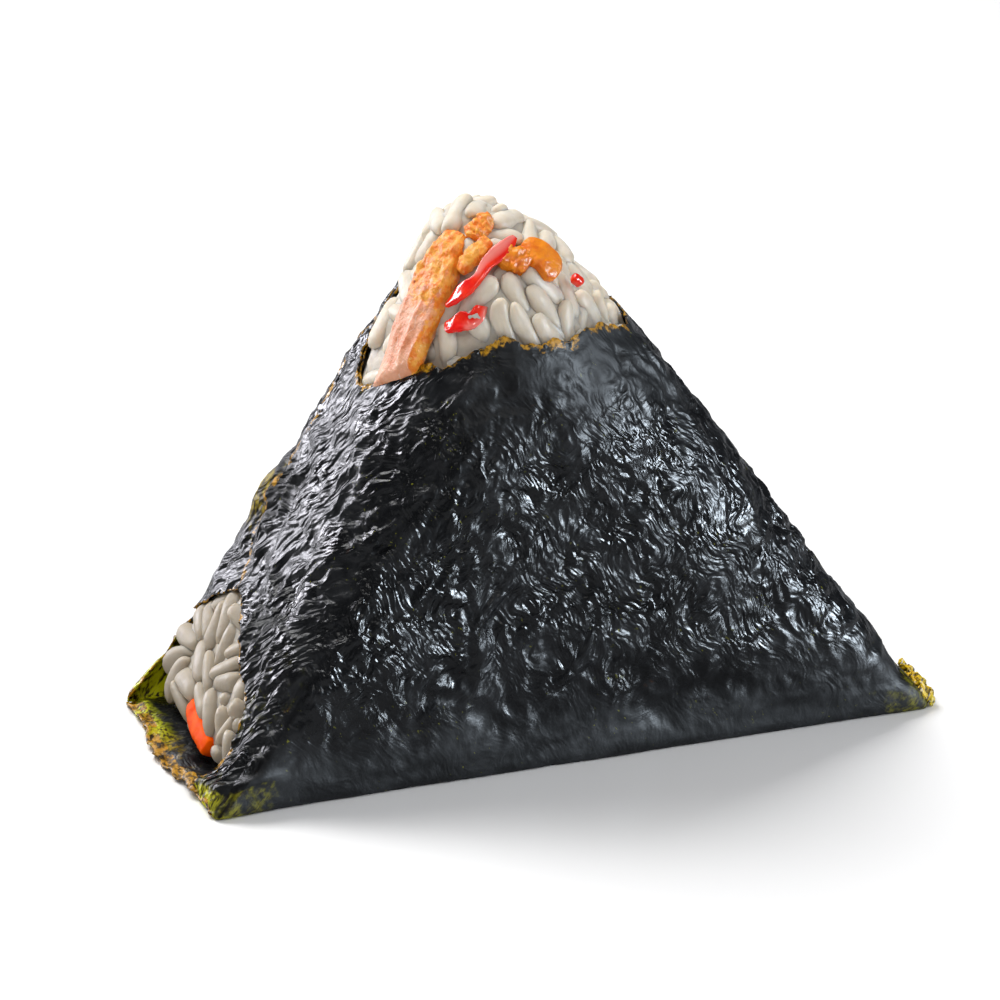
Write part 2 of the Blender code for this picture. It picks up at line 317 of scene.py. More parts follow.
def join_frame(piece: bpy.types.Object, slot: str, *nodes: str) -> None:
    """Let a piece ride on the part, stand for its CAD nodes and log its triangles with its finish's slot.
    """
    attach(piece, "root")
    if nodes:
        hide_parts(*nodes)
    faces = sum(len(face.vertices) - 2 for face in piece.data.polygons)
    LOG.info("%s: %d triangles before modifiers, slot %s", piece.name, faces, slot)


# ---------------------------------------------------------------- materials

class Graph:
    """A node tree, with one call for each node."""

    def __init__(self, tree: bpy.types.NodeTree) -> None:
        """Keep the tree that is being wired."""
        self.tree = tree

    def add(self, kind: str, inputs: dict | None = None, **settings: object) -> bpy.types.Node:
        """Add a node.

        Args:
            kind: the node's type, without its ShaderNode prefix.
            inputs: a socket or a constant for each named or numbered input.
            settings: the node's own properties.

        Returns:
            The node.
        """
        node = self.tree.nodes.new(kind if kind.startswith("Node") else "ShaderNode" + kind)
        for name, value in settings.items():
            setattr(node, name, value)
        for name, value in (inputs or {}).items():
            if isinstance(value, Socket):
                self.tree.links.new(value, node.inputs[name])
            else:
                node.inputs[name].default_value = value
        return node

    def math(self, operation: str, a: Socket | float, b: Socket | float = 0.0) -> Socket:
        """Result of one operation on two values."""
        return self.add("Math", {0: a, 1: b}, operation=operation).outputs[0]

    def ramp(self, value: Socket, low: float | Socket, high: float | Socket,
             start: float = 0.0, end: float = 1.0) -> Socket:
        """Ease a value that runs from low to high into the range from start to end."""
        return self.add("MapRange", {0: value, 1: low, 2: high, 3: start, 4: end},
                        interpolation_type="SMOOTHSTEP").outputs[0]

    def blend(self, share: Socket | float, a: Socket | tuple, b: Socket | tuple) -> Socket:
        """Mix two colours."""
        a, b = ((*c, 1.0) if isinstance(c, tuple) and len(c) == 3 else c for c in (a, b))
        return self.add("Mix", {0: share, 6: a, 7: b}, data_type="RGBA").outputs[2]

    def mark(self, name: str) -> Socket:
        """A value stored for each vertex of the piece."""
        return self.add("Attribute", attribute_name=name).outputs["Fac"]

    def place(self) -> Socket:
        """Position on the piece, in millimetres."""
        coords = self.add("TexCoord").outputs["Object"]
        return self.add("Mapping", {0: coords, 3: (1 / MM, 1 / MM, 1 / MM)}).outputs[0]

    def strokes(self, where: Socket, run: tuple, width: float, length: float) -> Socket:
        """Positions in which a pattern of unit size becomes strokes.

        Args:
            where: position in millimetres.
            run: the strokes' direction.
            width: size across them.
            length: size along them.

        Returns:
            The stretched position.
        """
        run = Vector(run).normalized()
        along = self.add("VectorMath", {0: where, 1: run}, operation="DOT_PRODUCT").outputs[1]
        squeeze = self.add("VectorMath", {0: run * (1 / length - 1 / width), 3: along},
                           operation="SCALE").outputs[0]
        wide = self.add("VectorMath", {0: where, 3: 1 / width}, operation="SCALE").outputs[0]
        return self.add("VectorMath", {0: wide, 1: squeeze}, operation="ADD").outputs[0]


def node_group(name: str, inputs: dict[str, str], outputs: dict[str, str]) -> bpy.types.NodeTree:
    """Make an empty node group with its named inputs and outputs, given with their types."""
    tree = bpy.data.node_groups.new(name, "ShaderNodeTree")
    for labels, way in ((inputs, "INPUT"), (outputs, "OUTPUT")):
        for label, kind in labels.items():
            tree.interface.new_socket(label, in_out=way, socket_type="NodeSocket" + kind)
    return tree


class Effects:
    """Node groups that several finishes share, each built once."""

    def __init__(self) -> None:
        """Build the groups."""
        self.mottle = self._mottle()
        self.ridges = self._ridges()

    @staticmethod
    def _mottle() -> bpy.types.NodeTree:
        """Soft patches: a mask that rises where the noise passes from Low to High."""
        tree = node_group("mottle", {"Vector": "Vector", "Size": "Float", "Low": "Float",
                                     "High": "Float"}, {"Mask": "Float"})
        graph = Graph(tree)
        given = graph.add("NodeGroupInput")
        scale = graph.math("DIVIDE", 1.0, given.outputs["Size"])
        cloud = graph.add("TexNoise", {"Vector": given.outputs["Vector"], "Scale": scale,
                                       "Detail": 3.0, "Roughness": 0.55})
        mask = graph.ramp(cloud.outputs[0], given.outputs["Low"], given.outputs["High"])
        graph.add("NodeGroupOutput", {"Mask": mask})
        return tree

    @staticmethod
    def _ridges() -> bpy.types.NodeTree:
        """Sharp-crested wrinkles: a height that peaks along the noise's middle value."""
        tree = node_group("ridges", {"Vector": "Vector", "Size": "Float", "Waver": "Float"},
                          {"Height": "Float"})
        graph = Graph(tree)
        given = graph.add("NodeGroupInput")
        scale = graph.math("DIVIDE", 1.0, given.outputs["Size"])
        cloud = graph.add("TexNoise", {"Vector": given.outputs["Vector"], "Scale": scale,
                                       "Detail": 1.5, "Distortion": given.outputs["Waver"]})
        off = graph.math("ABSOLUTE", graph.math("SUBTRACT", cloud.outputs[0], 0.5))
        height = graph.math("SUBTRACT", 1.0, graph.math("MULTIPLY", off, 5.0))
        graph.add("NodeGroupOutput", {"Height": height})
        return tree


class Finish:
    """A finish that knows how to make its own material."""

    name = "finish"
    roughness = 0.4

    def __init__(self, effects: Effects) -> None:
        """Keep the shared effects."""
        self.effects = effects

    def mottle(self, graph: Graph, where: Socket, size: float, low: float, high: float) -> Socket:
        """Mask of soft patches of a size in millimetres."""
        node = graph.add("Group", node_tree=self.effects.mottle)
        for label, value in (("Size", size), ("Low", low), ("High", high)):
            node.inputs[label].default_value = value
        graph.tree.links.new(where, node.inputs["Vector"])
        return node.outputs[0]

    def ridges(self, graph: Graph, where: Socket, size: float, waver: float = 0.6) -> Socket:
        """Height of sharp wrinkles of a size in millimetres."""
        node = graph.add("Group", node_tree=self.effects.ridges)
        node.inputs["Size"].default_value = size
        node.inputs["Waver"].default_value = waver
        graph.tree.links.new(where, node.inputs["Vector"])
        return node.outputs[0]

    def paint(self, graph: Graph) -> dict[str, Socket | float | tuple]:
        """Wire the finish and return what goes into the shader's inputs."""
        raise NotImplementedError

    def material(self) -> bpy.types.Material:
        """Build the material."""
        made = bpy.data.materials.new(self.name)
        made.use_nodes = True
        graph = Graph(made.node_tree)
        shader = made.node_tree.nodes["Principled BSDF"]
        shader.inputs["Roughness"].default_value = self.roughness
        for label, value in self.paint(graph).items():
            if isinstance(value, Socket):
                made.node_tree.links.new(value, shader.inputs[label])
            else:
                shader.inputs[label].default_value = value
        return made


class NoriFinish(Finish):
    """Glossy near-black seaweed, with a painted green or golden glow of light shining through where it is
    thin.
    """

    name = "nori_sheet"
    black = (0.0060, 0.0064, 0.0072)
    slate = (0.0150, 0.0162, 0.0182)
    olive = (0.17, 0.175, 0.012)
    rust = (0.070, 0.024, 0.007)
    # Painted light: glow colours of light shining through the thin sheet, from dim olive to bright
    # yellow-green and gold.
    backlit_leaf = (0.72, 0.74, 0.010)
    backlit_moss = (0.105, 0.115, 0.006)
    backlit_gold = (0.80, 0.49, 0.008)
    bark = (0.032, 0.020, 0.004)
    # Painted light: amber of light shining through the torn edge.
    backlit_amber = (0.52, 0.26, 0.012)
    down_right = (-0.55, 0.0, 0.83)
    up_right = (0.62, 0.0, 0.78)
    up_front = (0.38, -0.69, 0.62)

    def paint(self, graph: Graph) -> dict[str, Socket | float | tuple]:
        """Wire the sheet's colour with its painted glow of light shining through, its gloss and fine
        wrinkles.
        """
        place = graph.place()
        backlit, gold_glow, torn, left, calm, matte = (graph.mark(label) for label in (
            "backlit", "gold_glow", "torn", "left", "calm", "matte"))
        body = graph.blend(self.mottle(graph, place, 5.0, 0.4, 0.7), self.black, self.slate)
        zones = self.mottle(graph, place, 6.0, 0.5, 0.65)
        specks = self.mottle(graph, graph.strokes(place, self.down_right, 0.4, 0.9), 1.0, 0.66, 0.71)
        body = graph.blend(graph.math("MULTIPLY", specks, zones), body, self.olive)
        body = graph.blend(self.mottle(graph, place, 2.6, 0.72, 0.82), body, self.rust)
        # Painted light: thin parts glow as if lit through from behind, olive to yellow-green or golden,
        # broken by darker veins.
        light = graph.blend(graph.ramp(backlit, 0.45, 1.25), self.backlit_moss, self.backlit_leaf)
        light = graph.blend(gold_glow, light, self.backlit_gold)
        veins = self.mottle(graph, graph.strokes(place, self.up_right, 0.45, 1.4), 1.0, 0.36, 0.56)
        light = graph.blend(veins, self.bark, light)
        shows = graph.ramp(graph.math("ADD", backlit, graph.math(
            "MULTIPLY", self.mottle(graph, place, 1.3, 0.3, 0.7), 0.45)), 0.55, 1.0)
        body = graph.blend(shows, body, light)
        # The torn edge is a fringe of dark brown and amber; the amber is painted light shining through
        # the thin edge.
        rim = graph.ramp(graph.math("ADD", torn, graph.math(
            "MULTIPLY", self.mottle(graph, place, 1.6, 0.36, 0.64), 0.7)), 0.92, 1.15)
        frill = graph.blend(self.mottle(graph, place, 0.6, 0.35, 0.6), self.bark, self.backlit_amber)
        body = graph.blend(rim, body, frill)
        crumple = self.crumple(graph, place, left)
        deep = graph.math("MULTIPLY", crumple, calm)
        deep = graph.math("ADD", graph.math("MULTIPLY", deep, 0.62), graph.mark("turned"))
        normal = graph.add("Bump", {"Strength": 1.0, "Distance": MM, "Height": deep})
        fine = graph.add("TexNoise", {"Vector": place, "Scale": 3.2, "Detail": 2.0}).outputs[0]
        normal = graph.add("Bump", {"Strength": 0.5, "Distance": 0.05 * MM, "Height": fine,
                                    "Normal": normal.outputs[0]})
        gloss = graph.ramp(self.mottle(graph, place, 5.0, 0.35, 0.65), 0.0, 1.0, 0.21, 0.34)
        gloss = graph.math("ADD", gloss, graph.math("MULTIPLY", matte, 0.34))
        return {"Base Color": body, "Roughness": gloss, "Normal": normal.outputs[0],
                "Specular IOR Level": 0.24}

    def crumple(self, graph: Graph, place: Socket, left: Socket) -> Socket:
        """Height of the fine crumpling, whose strokes run with the pull on each face."""
        drift = graph.add("TexNoise", {"Vector": place, "Scale": 0.16, "Detail": 1.0}).outputs[1]
        drift = graph.add("VectorMath", {0: drift, 3: 5.0}, operation="SCALE").outputs[0]
        bent = graph.add("VectorMath", {0: place, 1: drift}, operation="ADD").outputs[0]
        fields = []
        for run, width, length in ((self.down_right, 0.72, 1.8), (self.up_right, 0.75, 2.2),
                                   (self.up_front, 0.95, 3.4)):
            spread = graph.strokes(bent, run, width, length)
            rounded = graph.add("TexNoise", {"Vector": spread, "Scale": 1.0, "Detail": 1.2,
                                             "Roughness": 0.45}).outputs[0]
            folds = self.ridges(graph, graph.strokes(bent, run, width * 1.9, length * 2.0), 1.0)
            fields.append(graph.math("ADD", rounded, graph.math("MULTIPLY", folds, 0.20)))
        share = self.mottle(graph, place, 9.0, 0.50, 0.66)
        front = graph.add("Mix", {0: share, 2: fields[0], 3: fields[1]}).outputs[0]
        return graph.add("Mix", {0: left, 2: front, 3: fields[2]}).outputs[0]


class RiceFinish(Finish):
    """Steamed rice: moist, off-white, translucent, with a whiter belly to each grain and painted shade
    where it lies deep.
    """

    name = "steamed_rice"
    roughness = 0.40
    pale = (0.67, 0.59, 0.485)
    belly = (0.75, 0.69, 0.60)
    grey = (0.60, 0.53, 0.435)
    # Painted shade: colour of the rice deep in the heap and between grains.
    crevice_shade = (0.32, 0.275, 0.215)

    def __init__(self, effects: Effects, shade: float = 1.0) -> None:
        """Keep the shade, which is lower for the rice in the depth of the heap."""
        super().__init__(effects)
        self.shade = shade

    def paint(self, graph: Graph) -> dict[str, Socket | float | tuple]:
        """Wire the rice's colour and faint relief."""
        place = graph.place()
        # Painted shade: every colour is scaled down by the shade.
        pale, belly, grey, crevice_shade = (tuple(self.shade * c for c in tone) for tone in (
            self.pale, self.belly, self.grey, self.crevice_shade))
        body = graph.blend(self.mottle(graph, place, 2.6, 0.38, 0.66), pale, grey)
        heart = graph.math("MULTIPLY", graph.mark("belly"), self.mottle(graph, place, 1.5, 0.3, 0.6))
        body = graph.blend(heart, body, belly)
        # Painted shade: darker where the rice lies deep under the heap's outline.
        body = graph.blend(graph.mark("deep"), body, crevice_shade)
        fine = graph.add("TexNoise", {"Vector": place, "Scale": 1.1, "Detail": 3.0}).outputs[0]
        normal = graph.add("Bump", {"Strength": 0.6, "Distance": 0.16 * MM, "Height": fine})
        gloss = graph.ramp(self.mottle(graph, place, 1.8, 0.35, 0.65), 0.0, 1.0, 0.44, 0.62)
        return {"Base Color": body, "Normal": normal.outputs[0], "Roughness": gloss,
                "Subsurface Weight": 0.7, "Subsurface Radius": (1.0, 0.8, 0.55),
                "Subsurface Scale": 2.0 * MM, "Specular IOR Level": 0.20}


class SalmonFinish(Finish):
    """Grilled salmon: pink flesh with white fat lines, orange-brown where it was grilled."""

    name = "grilled_salmon"
    roughness = 0.50

    def paint(self, graph: Graph) -> dict[str, Socket | float | tuple]:
        """Wire flesh, fat lines and crust."""
        place = graph.place()
        crust, fibre = graph.mark("crust"), graph.mark("fibre")
        flesh = graph.blend(self.mottle(graph, place, 2.2, 0.35, 0.65),
                            (0.76, 0.27, 0.125), (0.84, 0.41, 0.25))
        waver = graph.add("TexNoise", {"Vector": place, "Scale": 0.5, "Detail": 2.0}).outputs[0]
        band = graph.math("ADD", graph.math("MULTIPLY", fibre, 4.2), graph.math(
            "MULTIPLY", waver, 2.4))
        line = graph.math("ABSOLUTE", graph.math("SINE", graph.math("MULTIPLY", band, math.pi)))
        fat = graph.math("MULTIPLY", graph.ramp(line, 0.26, 0.02),
                         self.mottle(graph, place, 1.6, 0.44, 0.56))
        flesh = graph.blend(fat, flesh, (0.86, 0.57, 0.44))
        seared = graph.blend(self.mottle(graph, place, 1.1, 0.4, 0.62),
                             (0.84, 0.22, 0.014), (0.91, 0.39, 0.048))
        seared = graph.blend(self.mottle(graph, place, 0.7, 0.60, 0.72), seared, (0.90, 0.50, 0.14))
        seared = graph.blend(self.mottle(graph, place, 0.9, 0.66, 0.75), seared, (0.40, 0.05, 0.006))
        reach = graph.math("ADD", crust, graph.math(
            "MULTIPLY", graph.math("SUBTRACT", self.mottle(graph, place, 1.4, 0.3, 0.7), 0.5), 0.5))
        body = graph.blend(graph.ramp(reach, 0.35, 0.65), flesh, seared)
        fine = graph.add("TexNoise", {"Vector": place, "Scale": 2.2, "Detail": 4.0}).outputs[0]
        normal = graph.add("Bump", {"Strength": 0.9, "Distance": 0.24 * MM, "Height": fine})
        return {"Base Color": body, "Normal": normal.outputs[0], "Subsurface Weight": 0.2,
                "Subsurface Radius": (1.0, 0.4, 0.22), "Subsurface Scale": 0.7 * MM,
                "Specular IOR Level": 0.3}


@dataclass(frozen=True)
class Tint:
    """Colours of one vegetable."""

    name: str
    skin: tuple
    flesh: tuple
    speck: tuple
    grain: float
    roughness: float
    coat: float
    shine: float


class Vegetable(Enum):
    """The vegetables in the rice."""

    RED = Tint("red_pepper_skin", (0.78, 0.006, 0.004), (0.90, 0.24, 0.20), (0.90, 0.035, 0.008),
               0.05, 0.17, 0.5, 0.4)
    ORANGE = Tint("orange_pepper_skin", (0.88, 0.28, 0.008), (0.93, 0.45, 0.06),
                  (0.70, 0.14, 0.005), 0.22, 0.36, 0.06, 0.3)
    CARROT = Tint("boiled_carrot", (0.92, 0.110, 0.0010), (0.92, 0.18, 0.003),
                  (0.86, 0.065, 0.0006), 0.07, 0.50, 0.0, 0.02)


class VegetableFinish(Finish):
    """Moist vegetable skin with paler cut flesh, which also serves as painted highlights on the red
    pepper.
    """

    def __init__(self, effects: Effects, tint: Tint) -> None:
        """Keep the colours."""
        super().__init__(effects)
        self.tint = tint
        self.name = tint.name
        self.roughness = tint.roughness

    def paint(self, graph: Graph) -> dict[str, Socket | float | tuple]:
        """Wire skin, cut flesh with its painted highlights, and specks."""
        place = graph.place()
        body = graph.blend(self.mottle(graph, place, 1.6, 0.35, 0.7), self.tint.skin, self.tint.speck)
        # The crust mark brings in the pale flesh colour: cut flesh, and painted highlights on the red
        # pepper.
        cut = graph.math("MULTIPLY", graph.mark("crust"), 1.0)
        body = graph.blend(cut, body, self.tint.flesh)
        fine = graph.add("TexNoise", {"Vector": place, "Scale": 1.8, "Detail": 4.0}).outputs[0]
        normal = graph.add("Bump", {"Strength": 0.7, "Distance": self.tint.grain * MM, "Height": fine})
        return {"Base Color": body, "Normal": normal.outputs[0], "Coat Weight": self.tint.coat,
                "Specular IOR Level": self.tint.shine,
                "Coat Roughness": 0.08, "Subsurface Weight": 0.15,
                "Subsurface Radius": (1.0, 0.3, 0.1), "Subsurface Scale": 0.7 * MM}


# ---------------------------------------------------------------- the nori

@dataclass(frozen=True)
class Creases:
    """One family of folds that run the same way over the sheet."""

    seed: int
    run: tuple[float, float, float]
    spacing: float
    length: float
    height: float

    def relief(self, points: Points, waver: Points) -> Points:
        """Height of the folds at points, bent by a wavering offset."""
        run = unit(np.array(self.run))
        bent = points + waver
        along = (bent @ run)[..., None] * run
        field_ = GradientNoise(self.seed)((bent - along) / self.spacing + along / self.length)
        return self.height * (1.0 - 2.6 * np.abs(field_))


@dataclass
class NoriWrap:
    """The one sheet: front panel with its margins, back panel, base and frayed corner."""

    thickness: float = 0.2
    top: float = 58.0
    flange: float = 5.0
    lip_standoff: float = 2.0
    lip_height: float = 11.0
    margin_start: float = 35.0
    overlap: float = 0.35
    frayed: float = 1.3
    broad_fold: float = 0.55
    swells: tuple = (((9.0, -17.4, 25.0), 12.0, 1.0), ((25.0, -17.4, 10.0), 9.0, 0.6),
                     ((-20.0, -17.4, 27.0), 9.0, -0.5), ((4.0, -15.0, 45.0), 7.0, 0.5),
                     ((-31.0, -17.4, 8.0), 8.0, 0.5), ((17.0, -14.0, 34.0), 7.0, 0.5),
                     ((-31.0, 10.5, 29.0), 4.6, 2.2), ((41.0, -17.4, 2.7), 1.9, 0.5))
    most: float = 1.5
    tuck_ridge: float = 0.6
    tuft_folds: float = 7.0
    tuft_height: float = 3.7
    tuft_reach: float = 1.3
    tuft_start: float = -11.8
    tuft_end: float = -16.6
    families: tuple = (
        Creases(11, (0.38, -0.69, 0.62), 2.1, 6.5, 0.38),
        Creases(12, (-0.50, 0.2, 0.84), 2.0, 4.6, 0.28),
        Creases(13, (0.85, 0.1, 0.5), 2.3, 6.0, 0.28),
    )

    def relief(self, points: Points) -> Points:
        """How far the crumpled sheet stands over the rice."""
        broad = GradientNoise(3).layered(points / np.array((15.0, 15.0, 11.0)), 2)
        waver = np.stack([GradientNoise(seed).layered(points / 5.0, 2) for seed in (4, 5, 6)], -1)
        pick = smooth(0.5 + 1.6 * GradientNoise(7)(points / 8.0))
        other = smooth(0.3 + 1.8 * GradientNoise(8)(points / 9.0))
        steep, back_slash, shallow = (family.relief(points, 0.9 * waver) for family in self.families)
        leftness = smooth((-points[..., 0] - 8.0 + 0.35 * points[..., 2]) / 14.0)
        mixed = pick * back_slash + (1.0 - pick) * steep
        mixed = other * shallow + (1.0 - other) * mixed
        mixed = leftness * (0.6 * steep + 0.4 * mixed) + (1.0 - leftness) * mixed
        medium = Creases(21, (0.6, 0.0, 0.8), 4.6, 9.0, 0.30).relief(points, 2.0 * waver)
        calm = 0.45 + 0.55 * smooth((points[..., 2] - 3.0) / 14.0)
        swelling = sum(height * near(points, centre, radius) for centre, radius, height in self.swells)
        pressed = 0.35 + 0.65 * smooth((OPENINGS.torn_height(points) - points[..., 2]) / 4.5)
        total = pressed * (self.broad_fold * broad + calm * (mixed + medium)) + swelling
        most = np.where(points[..., 1] > 0.0, 1.6 * self.most, self.most)
        return np.where(total > 0.0, most * np.tanh(total / most), total)

    @staticmethod
    def tucked(points: Points) -> tuple[Points, Points]:
        """Where the front's lower left corner is folded: height over the fold, and its share."""
        fold = 1.3 + 0.21 * np.clip(-points[..., 1] - 7.0, 0.0, 10.4) + 0.33 * np.clip(
            points[..., 0] + 43.4, 0.0, 4.0)
        share = smooth((-points[..., 0] - 36.5) / 3.0) * (points[..., 1] < 0.0)
        return points[..., 2] - fold, share

    def lip(self, points: Points) -> Points:
        """How far the margin at the lower left leans away from the rice."""
        reach = smooth((np.abs(points[..., 0]) - self.margin_start)
                       / (FORM.base_width / 2 - self.margin_start))
        left = np.where(points[..., 0] < 0, self.lip_standoff, 0.5)
        return left * (1.0 - smooth(points[..., 2] / self.lip_height)) * reach

    def place(self, turn: Points, climb: Points, sink: Points) -> Points:
        """Outer surface of the sheet.

        Args:
            turn: way round the form.
            climb: height, or a negative way in under the base.
            sink: how much lower the sheet lies here than the outermost layer.

        Returns:
            Points of the sheet.
        """
        heights = np.maximum(climb, 0.0)
        skin = FORM.skin(turn, heights)
        middle = FORM.axis(heights)
        outward = FORM.outward(skin)
        level = unit((skin - middle) * np.array((1.0, 1.0, 0.0)))
        rest = smooth((heights - 0.2) / 4.0)
        over, share = self.tucked(skin)
        raised = self.relief(skin) * (0.25 + 0.75 * rest)
        raised = raised + share * self.tuck_ridge * np.exp(-(over / 0.55) ** 2)
        placed = skin + outward * (raised - sink)[..., None] + level * self.lip(skin)[..., None]
        inward = np.minimum(climb, 0.0)[..., None]
        placed = placed + level * inward
        under = smooth(-climb / 2.0)
        placed[..., 2] = np.maximum(placed[..., 2], 0.10) + 0.25 * under * (
            0.5 + 0.5 * GradientNoise(9)(placed / 3.0))
        return placed

    @staticmethod
    def even_turns(turns: tuple[float, float], columns: int) -> Points:
        """Ways round the form that are evenly spaced along it low down."""
        way = np.linspace(*turns, 2000)
        track = FORM.skin(way, np.full_like(way, 12.0))
        run = np.concatenate([[0.0], np.cumsum(np.linalg.norm(np.diff(track, axis=0), axis=1))])
        return np.interp(np.linspace(0.0, run[-1], columns + 1), run, way)

    @staticmethod
    def trim(placed: Points, inside: Points) -> Points:
        """Draw the grid's points that lie along a torn edge onto it.

        Args:
            placed: the sheet's points, in rows and columns.
            inside: their distance in from the edge.

        Returns:
            The points, moved by less than a cell.
        """
        slope_row, slope_column = np.gradient(inside)
        steep = slope_row ** 2 + slope_column ** 2 + 1e-6
        along_row, along_column = (np.gradient(placed, axis=axis) for axis in (0, 1))
        shift_row, shift_column = (np.clip(-inside * slope / steep, -0.7, 0.7)[..., None]
                                   for slope in (slope_row, slope_column))
        close = (np.abs(inside) < np.sqrt(steep))[..., None]
        return placed + close * (along_row * shift_row + along_column * shift_column)

    def panel(self, name: str, turns: tuple[float, float], columns: int, step: float,
              sink: Callable[[Points], Points], keep: Callable[[Points, Points], Points],
              backlit: Callable[[Points], tuple[Points, Points]],
              material: bpy.types.Material) -> bpy.types.Object:
        """Build one panel of the sheet as a trimmed, crumpled grid with a thickness.

        Args:
            name: the piece's name.
            turns: where it starts and ends on the way round the form.
            columns: cells round.
            step: spacing of the rows.
            sink: depth under the outermost layer, for points of the form.
            keep: distance in from the panel's edges, for turns and points of the form.
            backlit: how strong and how golden the painted glow of light through the sheet is, for placed
                points.
            material: the finish.

        Returns:
            The piece.
        """
        rows = np.concatenate([np.arange(-self.flange, 0.0, 0.8), FORM.climb(self.top, step)])
        turn, climb = np.meshgrid(self.even_turns(turns, columns), rows)
        skin = FORM.skin(turn, np.maximum(climb, 0.0))
        ragged = 0.45 * GradientNoise(31).layered(skin / 2.2, 3) + 0.5 * GradientNoise(32)(skin / 6.0)
        inside = keep(turn, skin) + ragged
        placed = self.trim(self.place(turn, climb, sink(skin)), inside)
        lightness, backlit_gold = backlit(placed)
        torn = np.clip(1.0 - inside / self.frayed, 0.0, 1.0) * (climb > 1.0)
        bm = bmesh.new()
        bmesh.ops.create_grid(bm, x_segments=columns, y_segments=len(rows) - 1, size=0.5)
        starts = np.array([vert.co for vert in bm.verts])
        column = np.rint((starts[:, 0] + 0.5) * columns).astype(int)
        row = np.rint((starts[:, 1] + 0.5) * (len(rows) - 1)).astype(int)
        reshape(bm, lambda _: placed[row, column])
        marks = {"backlit": lightness, "gold_glow": backlit_gold, "torn": torn, **self.texture(placed, skin)}
        layers = {label: bm.verts.layers.float.new(label) for label in marks}
        kept = inside[row, column]
        bm.verts.ensure_lookup_table()
        for index, vert in enumerate(bm.verts):
            for label, layer in layers.items():
                vert[layer] = marks[label][row[index], column[index]]
        lost = [face for face in bm.faces if sum(kept[v.index] for v in face.verts) < 0.0]
        bmesh.ops.delete(bm, geom=lost, context="FACES")
        bmesh.ops.recalc_face_normals(bm, faces=bm.faces)
        piece = make_piece(bm, name, material)
        wall = piece.modifiers.new("thickness", "SOLIDIFY")
        wall.thickness = self.thickness * MM
        wall.offset = -1.0
        return piece

    @staticmethod
    def texture(placed: Points, skin: Points) -> dict[str, Points]:
        """How far points belong to the left side, and how strongly they are crumpled."""
        normal = FORM.outward(skin)
        left = smooth((-normal[..., 0] - 0.35) / 0.35)
        patches = 0.5 + 0.9 * GradientNoise(33)(placed / 9.0)
        height = smooth((placed[..., 2] - 7.0) / 13.0)
        calm = np.clip(0.15 + 0.85 * height * (0.55 + 0.45 * smooth(patches)), 0.0, 1.0)
        over, share = NoriWrap.tucked(skin)
        fold = near(placed, (-31.0, 10.5, 29.0), 6.0)
        matte = share * smooth((0.2 - over) / 0.5) + 1.2 * fold
        front = smooth((-normal[..., 1] - 0.5) / 0.3)
        matte = matte + 0.9 * front * smooth((10.0 - skin[..., 2]) / 6.0)
        low = smooth((25.0 - skin[..., 2]) / 12.0) * (skin[..., 1] < 0.0)
        matte = matte + 0.15 * left * low
        top = smooth(1.3 - (OPENINGS.torn_height(skin) - skin[..., 2]) / 11.0) * (1.0 - left)
        top = top * smooth((-normal[..., 1] - 0.2) / 0.4)
        turned = 0.45 * left * low * (placed[..., 1] + 13.0)
        return {"left": left, "turned": turned, "calm": np.maximum(calm * (1.0 - 0.6 * top), left * (1.0 + 1.4 * low + fold)),
                "matte": np.clip(matte + 1.0 * top, 0.0, 1.2)}

    def front_glow(self, points: Points) -> tuple[Points, Points]:
        """Painted glow of light through the front panel: its two lower corners."""
        over, share = self.tucked(points)
        left = 0.75 * near(points, (-45.0, -13.0, 0.3), 4.2) + 0.45 * share * smooth((0.2 - over) / 0.6)
        left += 0.30 * near(points, (-40.5, -10.0, 9.0), 5.0) + 0.22 * near(points, (-36, -14, 15), 7.0)
        right = 0.60 * near(points, (42.0, -17.4, 1.2), 6.0)
        return left + right, 0.1 * left + 0.1 * right

    def back_glow(self, points: Points) -> tuple[Points, Points]:
        """Painted glow of light through the back panel: the ear at the lower left and the loose fold."""
        ear = smooth((-points[..., 0] - 37.5) / 3.0) * smooth((11.5 - points[..., 2]) / 4.0)
        fold = 0.64 * near(points, (-31.0, 10.5, 28.0), 6.0)
        return 1.1 * ear + fold, 0.05 * ear + 0.6 * fold

    def build(self, material: bpy.types.Material) -> list[bpy.types.Object]:
        """Build every piece of the sheet."""
        def top_in(points: Points) -> Points:
            return OPENINGS.torn_height(points) - points[..., 2]

        def front_keep(turn: Points, points: Points) -> Points:
            left = OPENINGS.front_limit(points) - points[..., 1]
            right = 4.0 - points[..., 1]
            return np.minimum(top_in(points), np.where(turn < 0.5, left, right))

        def back_keep(turn: Points, points: Points) -> Points:
            left = points[..., 1] - OPENINGS.back_limit(points)
            right = points[..., 1] + 4.0
            return np.minimum(top_in(points), np.where(turn > 2.5, left, right))

        def under(points: Points) -> Points:
            edge = np.where(points[..., 0] < 0, OPENINGS.front_limit(points), 4.0)
            return self.overlap * smooth((edge - points[..., 1] + 2.5) / 2.0)

        front = self.panel("nori_front", (-0.93, 1.66), 390, 0.40, lambda p: 0.0 * p[..., 0],
                           front_keep, self.front_glow, material)
        back = self.panel("nori_back", (1.34, 3.96), 230, 0.62, under, back_keep,
                          self.back_glow, material)
        return [front, back, self.base(material), self.tuft(material)]

